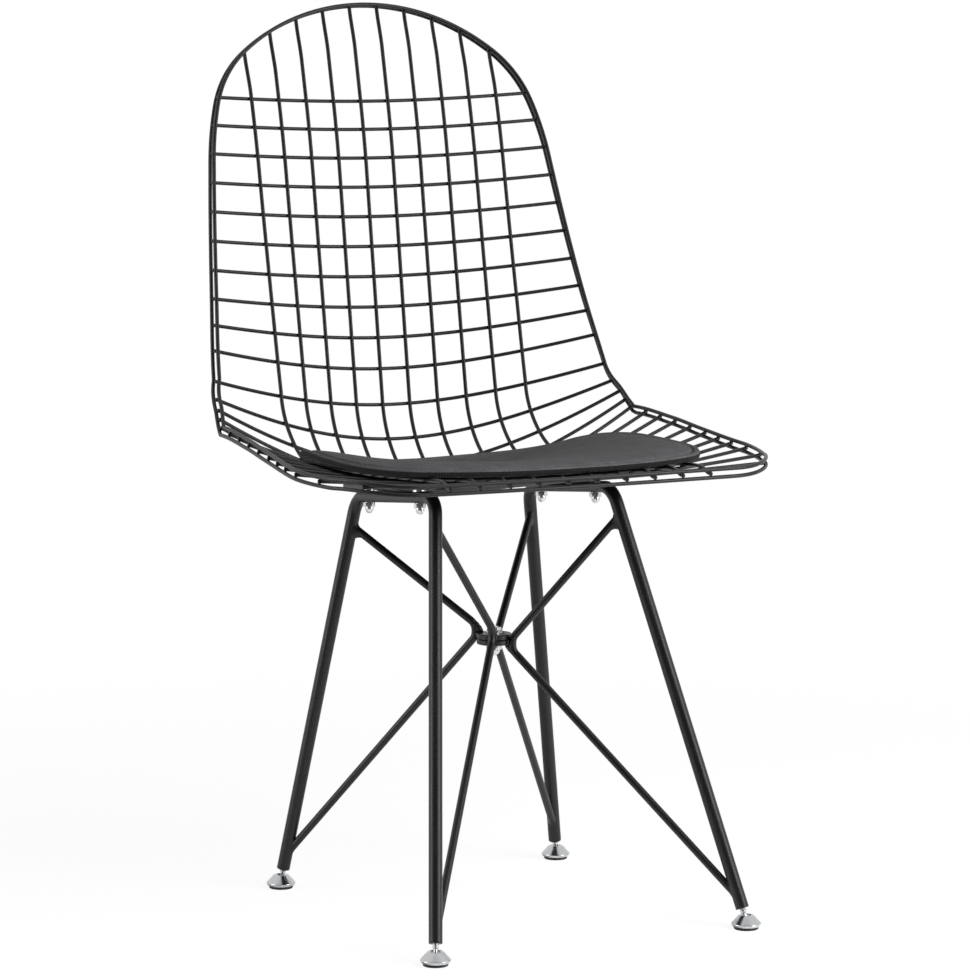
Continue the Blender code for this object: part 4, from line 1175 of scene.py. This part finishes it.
def blown_up(points, middle, base):
    """The cover after some frames of cloth simulation with air under it, its seam held still; no
    point moves further than the limit, and each movement is averaged with its neighbours'."""
    vertices, quads, fans = closed(points, False, base, middle)
    cloth = bpy.data.objects.new("cover_cloth", mesh_of("cover_cloth", [(vertices, quads, fans)]))
    bpy.context.scene.collection.objects.link(cloth)
    held = cloth.vertex_groups.new(name="seam")
    held.add(list(range(2 * PAD_COLUMNS)) + [len(vertices) - 2], 1.0, "REPLACE")
    settings = cloth.modifiers.new("cloth", "CLOTH").settings
    settings.vertex_group_mass = "seam"
    settings.use_pressure = True
    settings.uniform_pressure_force = 4.0
    settings.shrink_min = -0.012
    settings.mass = 0.15
    settings.effector_weights.gravity = 0.0
    scene = bpy.context.scene
    for number in range(1, FRAMES + 1):
        scene.frame_set(number)
    graph = bpy.context.evaluated_depsgraph_get()
    swollen = cloth.evaluated_get(graph).data
    moved = np.empty(len(vertices) * 3, np.float32)
    swollen.vertices.foreach_get("co", moved)
    move = moved.reshape(-1, 3) - vertices
    length = np.maximum(np.linalg.norm(move, axis=1, keepdims=True), 1e-9)
    move = move * np.minimum(1.0, PUFF_LIMIT / length)
    grid = move[:-2].reshape(points.shape)
    for _ in range(CALM):
        grid[2:] = (grid[2:] + np.roll(grid[2:], 1, axis=1) + np.roll(grid[2:], -1, axis=1)) / 3.0
        grid[2:-1] = (grid[1:-2] + grid[2:-1] + grid[3:]) / 3.0
    scene.frame_set(1)
    bpy.data.objects.remove(cloth, do_unlink=True)
    print("cover moved before the limit, mm: mean", length.mean() / MM, "most", length.max() / MM)
    vertices = vertices + move
    return vertices[:-2].reshape(points.shape), vertices[-1]


cover_flat, cover = cover_grid()
cover_middle = lifted(0.0, PAD_WIDEST, PAD_BASE + EDGE_RISE + CROWN)
pad_bottom = lifted(0.0, PAD_WIDEST, PAD_BASE)
cover, cover_middle = blown_up(cover, cover_middle, pad_bottom)

# %% Binding and underside
UNDER_SHARES = (0.15, 0.35, 0.6, 0.8, 1.0)
BINDING = (
    (9.0, 0.0), (4.5, 0.05), (2.0, 0.15), (0.9, 0.45), (0.25, 1.1), (0.0, 2.2), (0.0, 3.6), (0.15, 4.9),
    (0.6, 5.9), (1.5, 6.6), (2.8, 6.9), (4.2, 6.9), (5.5, 6.6), (6.4, 6.0), (7.1, 5.2), (7.4, 4.9),
)


def pad_surface():
    """Underside from its middle out, round the bound edge, down into the seam and over the cover."""
    flats = [field(share) for share in UNDER_SHARES]
    lifts = [0.0] * len(UNDER_SHARES)
    flats += [band(inset * MM) for inset, rise in BINDING]
    lifts += [rise * MM for inset, rise in BINDING]
    flats = np.array(flats)
    lower = pad_points(flats, PAD_BASE + np.array(lifts)[:, None])
    points = np.concatenate((lower, cover))
    laid = np.concatenate((flats, cover_flat)).reshape(-1, 2)
    return closed(points, False, pad_bottom, cover_middle), np.vstack((laid, np.zeros((2, 2))))


pad_shape, pad_laid = pad_surface()
pad = make("seat_pad_cushion", [pad_shape], LEATHERETTE, ["seat_pad"])
pad.data.set_sharp_from_angle(angle=pi)
corner_vertex = np.empty(len(pad.data.loops), np.int32)
pad.data.loops.foreach_get("vertex_index", corner_vertex)
weave = pad_laid[corner_vertex]

# %% The wall of tape
WALL_ROWS = range(len(UNDER_SHARES) + 1, len(UNDER_SHARES) + 8)


def wall_map(first, last):
    """Corners of the quads between two rows, and their place along the edge and up the wall; the last
    column ends where the first begins."""
    quads = np.arange(first * PAD_COLUMNS, last * PAD_COLUMNS)
    corners = 4 * quads[:, None] + np.arange(4)
    row, column = np.divmod(corner_vertex[corners], PAD_COLUMNS)
    closing = quads[:, None] % PAD_COLUMNS == PAD_COLUMNS - 1
    column = np.where(closing & (column == 0), PAD_COLUMNS, column)
    return quads, corners, np.stack((column * PAD_GIRTH / PAD_COLUMNS, row * MM), axis=-1)


wall, wall_corners, wall_places = wall_map(WALL_ROWS[0], WALL_ROWS[-1])
weave[wall_corners] = wall_places
weave_map = pad.data.uv_layers.new(name="laid_flat")
weave_map.data.foreach_set("uv", weave.astype(np.float32).ravel())
pad.data.materials.append(TAPE)
finish_of = np.zeros(len(pad.data.polygons), np.int32)
finish_of[: wall[-1] + 1] = 1
bottom_fan = len(finish_of) - 2 * PAD_COLUMNS
finish_of[bottom_fan : bottom_fan + PAD_COLUMNS] = 1
pad.data.polygons.foreach_set("material_index", finish_of)
finer = pad.modifiers.new("finer", "SUBSURF")
finer.levels = finer.render_levels = 1
print("pad girth mm:", round(PAD_GIRTH / MM), "faces:", len(pad.data.polygons))

# %% Stitches in the seam
STITCH, STITCH_PITCH, THREAD_R = 3.2 * MM, 5.0 * MM, 0.35 * MM


def stitches():
    """Short lengths of thread along the seam, each a rod that tapers into the cover at its ends."""
    count = int(PAD_GIRTH / STITCH_PITCH)
    line = pad_points(band(SEAM_IN), PAD_BASE + SEAM_RISE)
    line = np.vstack((line, line[:1]))
    along = np.concatenate(([0.0], np.cumsum(np.linalg.norm(np.diff(line, axis=0), axis=1))))
    share = np.linspace(-0.5, 0.5, 5)
    places = (np.arange(count)[:, None] + 0.5) * along[-1] / count + share * STITCH
    paths = np.stack([np.interp(places, along, line[:, k]) for k in range(3)], axis=-1)
    bow = THREAD_R * (1.4 - 8.0 * share**2)
    paths[..., 2] += bow
    radius = THREAD_R * np.array((0.3, 0.9, 1.0, 0.9, 0.3))
    return [rod(path, radius, UP, spokes=6) for path in paths]


make("seat_pad_stitches", stitches(), THREAD, ["seat_pad"])
print("stitches:", int(PAD_GIRTH / STITCH_PITCH))

# %% [markdown]
# ## Floor, light and camera
# The chair stands on white paper.  Near the chair the paper is lit and takes the soft shadow; further
# out it fades into the white that the camera, and anything shiny, sees behind it.  Two tall softboxes
# give each leg its pair of long highlights.  A larger one, to the right of the camera and higher up,
# lights the pad.  In the polished cups it would show as a hard white patch, so it is kept out of mirrors.

# %% White surroundings
PAPER_R, PAPER_SIDES = 6.0, 64
FADE_FROM, FADE_TO, WHITEN = 0.55, 1.5, 0.9
ROOM, ROOM_FROM, ROOM_TO = 0.12, cos(radians(75.0)), cos(radians(30.0))
EYE = Vector((-1.82074, -3.58604, 0.89134))
SIGHT = Vector((0.45143, 0.88412, -0.12061))


def seen(tree):
    """One for what the camera sees, directly or through glass, and one for what a mirror sees."""
    path = add(tree, "ShaderNodeLightPath").outputs
    direct = maths(tree, "MAXIMUM", path["Is Camera Ray"], path["Is Transmission Ray"])
    return direct, path["Is Glossy Ray"]


def between(tree, factor, low, high, **settings):
    """The number low where factor is zero and high where it is one, or over other limits."""
    inputs = {"Value": factor, "To Min": low, "To Max": high}
    return add(tree, "ShaderNodeMapRange", {**inputs, **settings}).outputs["Result"]


def room(tree, direction):
    """One, but falling smoothly to a low value in directions near the way to the camera: the dim
    room behind it."""
    inputs = {0: direction, 1: -SIGHT}
    facing = add(tree, "ShaderNodeVectorMath", inputs, operation="DOT_PRODUCT").outputs["Value"]
    return between(tree, facing, 1.0, ROOM, **{"From Min": ROOM_FROM, "From Max": ROOM_TO})


def white_world(strength):
    """White where the camera sees it, and elsewhere a plain soft light that is dim on the camera's
    side; shiny things see it as white too, except on that side."""
    world = bpy.data.worlds.new("white_studio")
    world.use_nodes = True
    tree = world.node_tree
    tree.nodes.clear()
    direct, mirrored = seen(tree)
    dim = room(tree, add(tree, "ShaderNodeTexCoord").outputs["Generated"])
    lit = maths(tree, "MULTIPLY", between(tree, mirrored, strength, 1.0), dim)
    level = between(tree, direct, lit, 1.0)
    light = add(tree, "ShaderNodeBackground", {"Color": linear("#ffffff"), "Strength": level})
    add(tree, "ShaderNodeOutputWorld", {"Surface": light.outputs[0]})
    bpy.context.scene.world = world


def paper():
    """White paper that fades to plain white with its distance from the chair; near the chair the
    camera sees a part of that white, so the shadow is faint."""
    material = bpy.data.materials.new("white_paper")
    material.use_nodes = True
    tree = material.node_tree
    tree.nodes.clear()
    place = add(tree, "ShaderNodeTexCoord").outputs["Object"]
    away = add(tree, "ShaderNodeVectorMath", {0: place}, operation="LENGTH").outputs["Value"]
    way = add(tree, "ShaderNodeVectorMath", {0: place}, operation="NORMALIZE").outputs["Vector"]
    limits = {"Value": away, "From Min": FADE_FROM, "From Max": FADE_TO}
    fade = add(tree, "ShaderNodeMapRange", limits, interpolation_type="SMOOTHSTEP").outputs["Result"]
    direct, mirrored = seen(tree)
    mirror = maths(tree, "MULTIPLY", mirrored, fade)
    near = between(tree, fade, WHITEN, 1.0)
    amount = between(tree, direct, mirror, near)
    level = between(tree, direct, room(tree, way), 1.0)
    lit = add(tree, "ShaderNodeBsdfDiffuse", {"Color": linear("#fbfbfb")})
    white = add(tree, "ShaderNodeEmission", {"Color": linear("#ffffff"), "Strength": level})
    mix = add(tree, "ShaderNodeMixShader", {0: amount, 1: lit.outputs[0], 2: white.outputs[0]})
    add(tree, "ShaderNodeOutputMaterial", {"Surface": mix.outputs[0]})
    return material


def paper_floor():
    """A flat disc of paper just under the glides."""
    turn = 2.0 * pi * np.arange(PAPER_SIDES) / PAPER_SIDES
    ring = np.stack((np.cos(turn), np.sin(turn), 0.0 * turn), axis=1)
    vertices = np.vstack((ring * PAPER_R, (0.0, 0.0, 0.0))) - (0.0, 0.0, 0.2 * MM)
    faces = [(k, (k + 1) % PAPER_SIDES, PAPER_SIDES) for k in range(PAPER_SIDES)]
    mesh = bpy.data.meshes.new("paper_floor")
    mesh.from_pydata(vertices.tolist(), [], faces)
    mesh.materials.append(paper())
    floor = bpy.data.objects.new("paper_floor", mesh)
    bpy.context.scene.collection.objects.link(floor)


white_world(0.30)
paper_floor()

# %% Camera at the photograph's angle
FOCAL_IN_PIXELS, FRAME_IN_PIXELS, SENSOR = 4216.0, 970.0, 36.0


def photo_camera():
    """Camera whose lens has the photograph's focal length, as a share of the sensor's width."""
    data = bpy.data.cameras.new("photo_camera")
    data.sensor_width = data.sensor_height = SENSOR
    data.lens = SENSOR * FOCAL_IN_PIXELS / FRAME_IN_PIXELS
    data.clip_end = 60.0
    camera = bpy.data.objects.new("photo_camera", data)
    camera.location = EYE
    camera.rotation_euler = SIGHT.to_track_quat("-Z", "Y").to_euler()
    bpy.context.scene.collection.objects.link(camera)
    bpy.context.scene.camera = camera


photo_camera()

# %% Softboxes
AIM = Vector((0.0, 0.0, 0.42))
TO_CAMERA = np.degrees(np.arctan2(-SIGHT.y, -SIGHT.x))


def softbox(name, beside_camera, rise, distance, size, power):
    """A rectangular lamp at an angle beside the camera, seen from above, and an angle above level."""
    data = bpy.data.lights.new(name, "AREA")
    data.shape = "RECTANGLE"
    data.size, data.size_y = size
    data.energy = power
    lamp = bpy.data.objects.new(name, data)
    turn, up = radians(TO_CAMERA + beside_camera), radians(rise)
    lamp.location = AIM + distance * Vector((cos(turn) * cos(up), sin(turn) * cos(up), sin(up)))
    lamp.rotation_euler = (AIM - lamp.location).to_track_quat("-Z", "Y").to_euler()
    bpy.context.scene.collection.objects.link(lamp)
    return lamp


softbox("left_softbox", -72.0, 14.0, 2.4, (0.9, 1.9), 24.0)
softbox("right_softbox", 62.0, 14.0, 2.4, (0.9, 1.9), 36.0)
key = softbox("key_softbox", 50.0, 35.0, 2.6, (2.2, 1.6), 90.0)
key.visible_glossy = False
bpy.context.scene.view_settings.view_transform = "Standard"
print("lamps:", len(bpy.data.lights))

# %% [markdown]
# ## Size
# The looks must not change the size; the last cell only brings the scene up to date.

# %% Bring the scene up to date
bpy.context.view_layer.update()
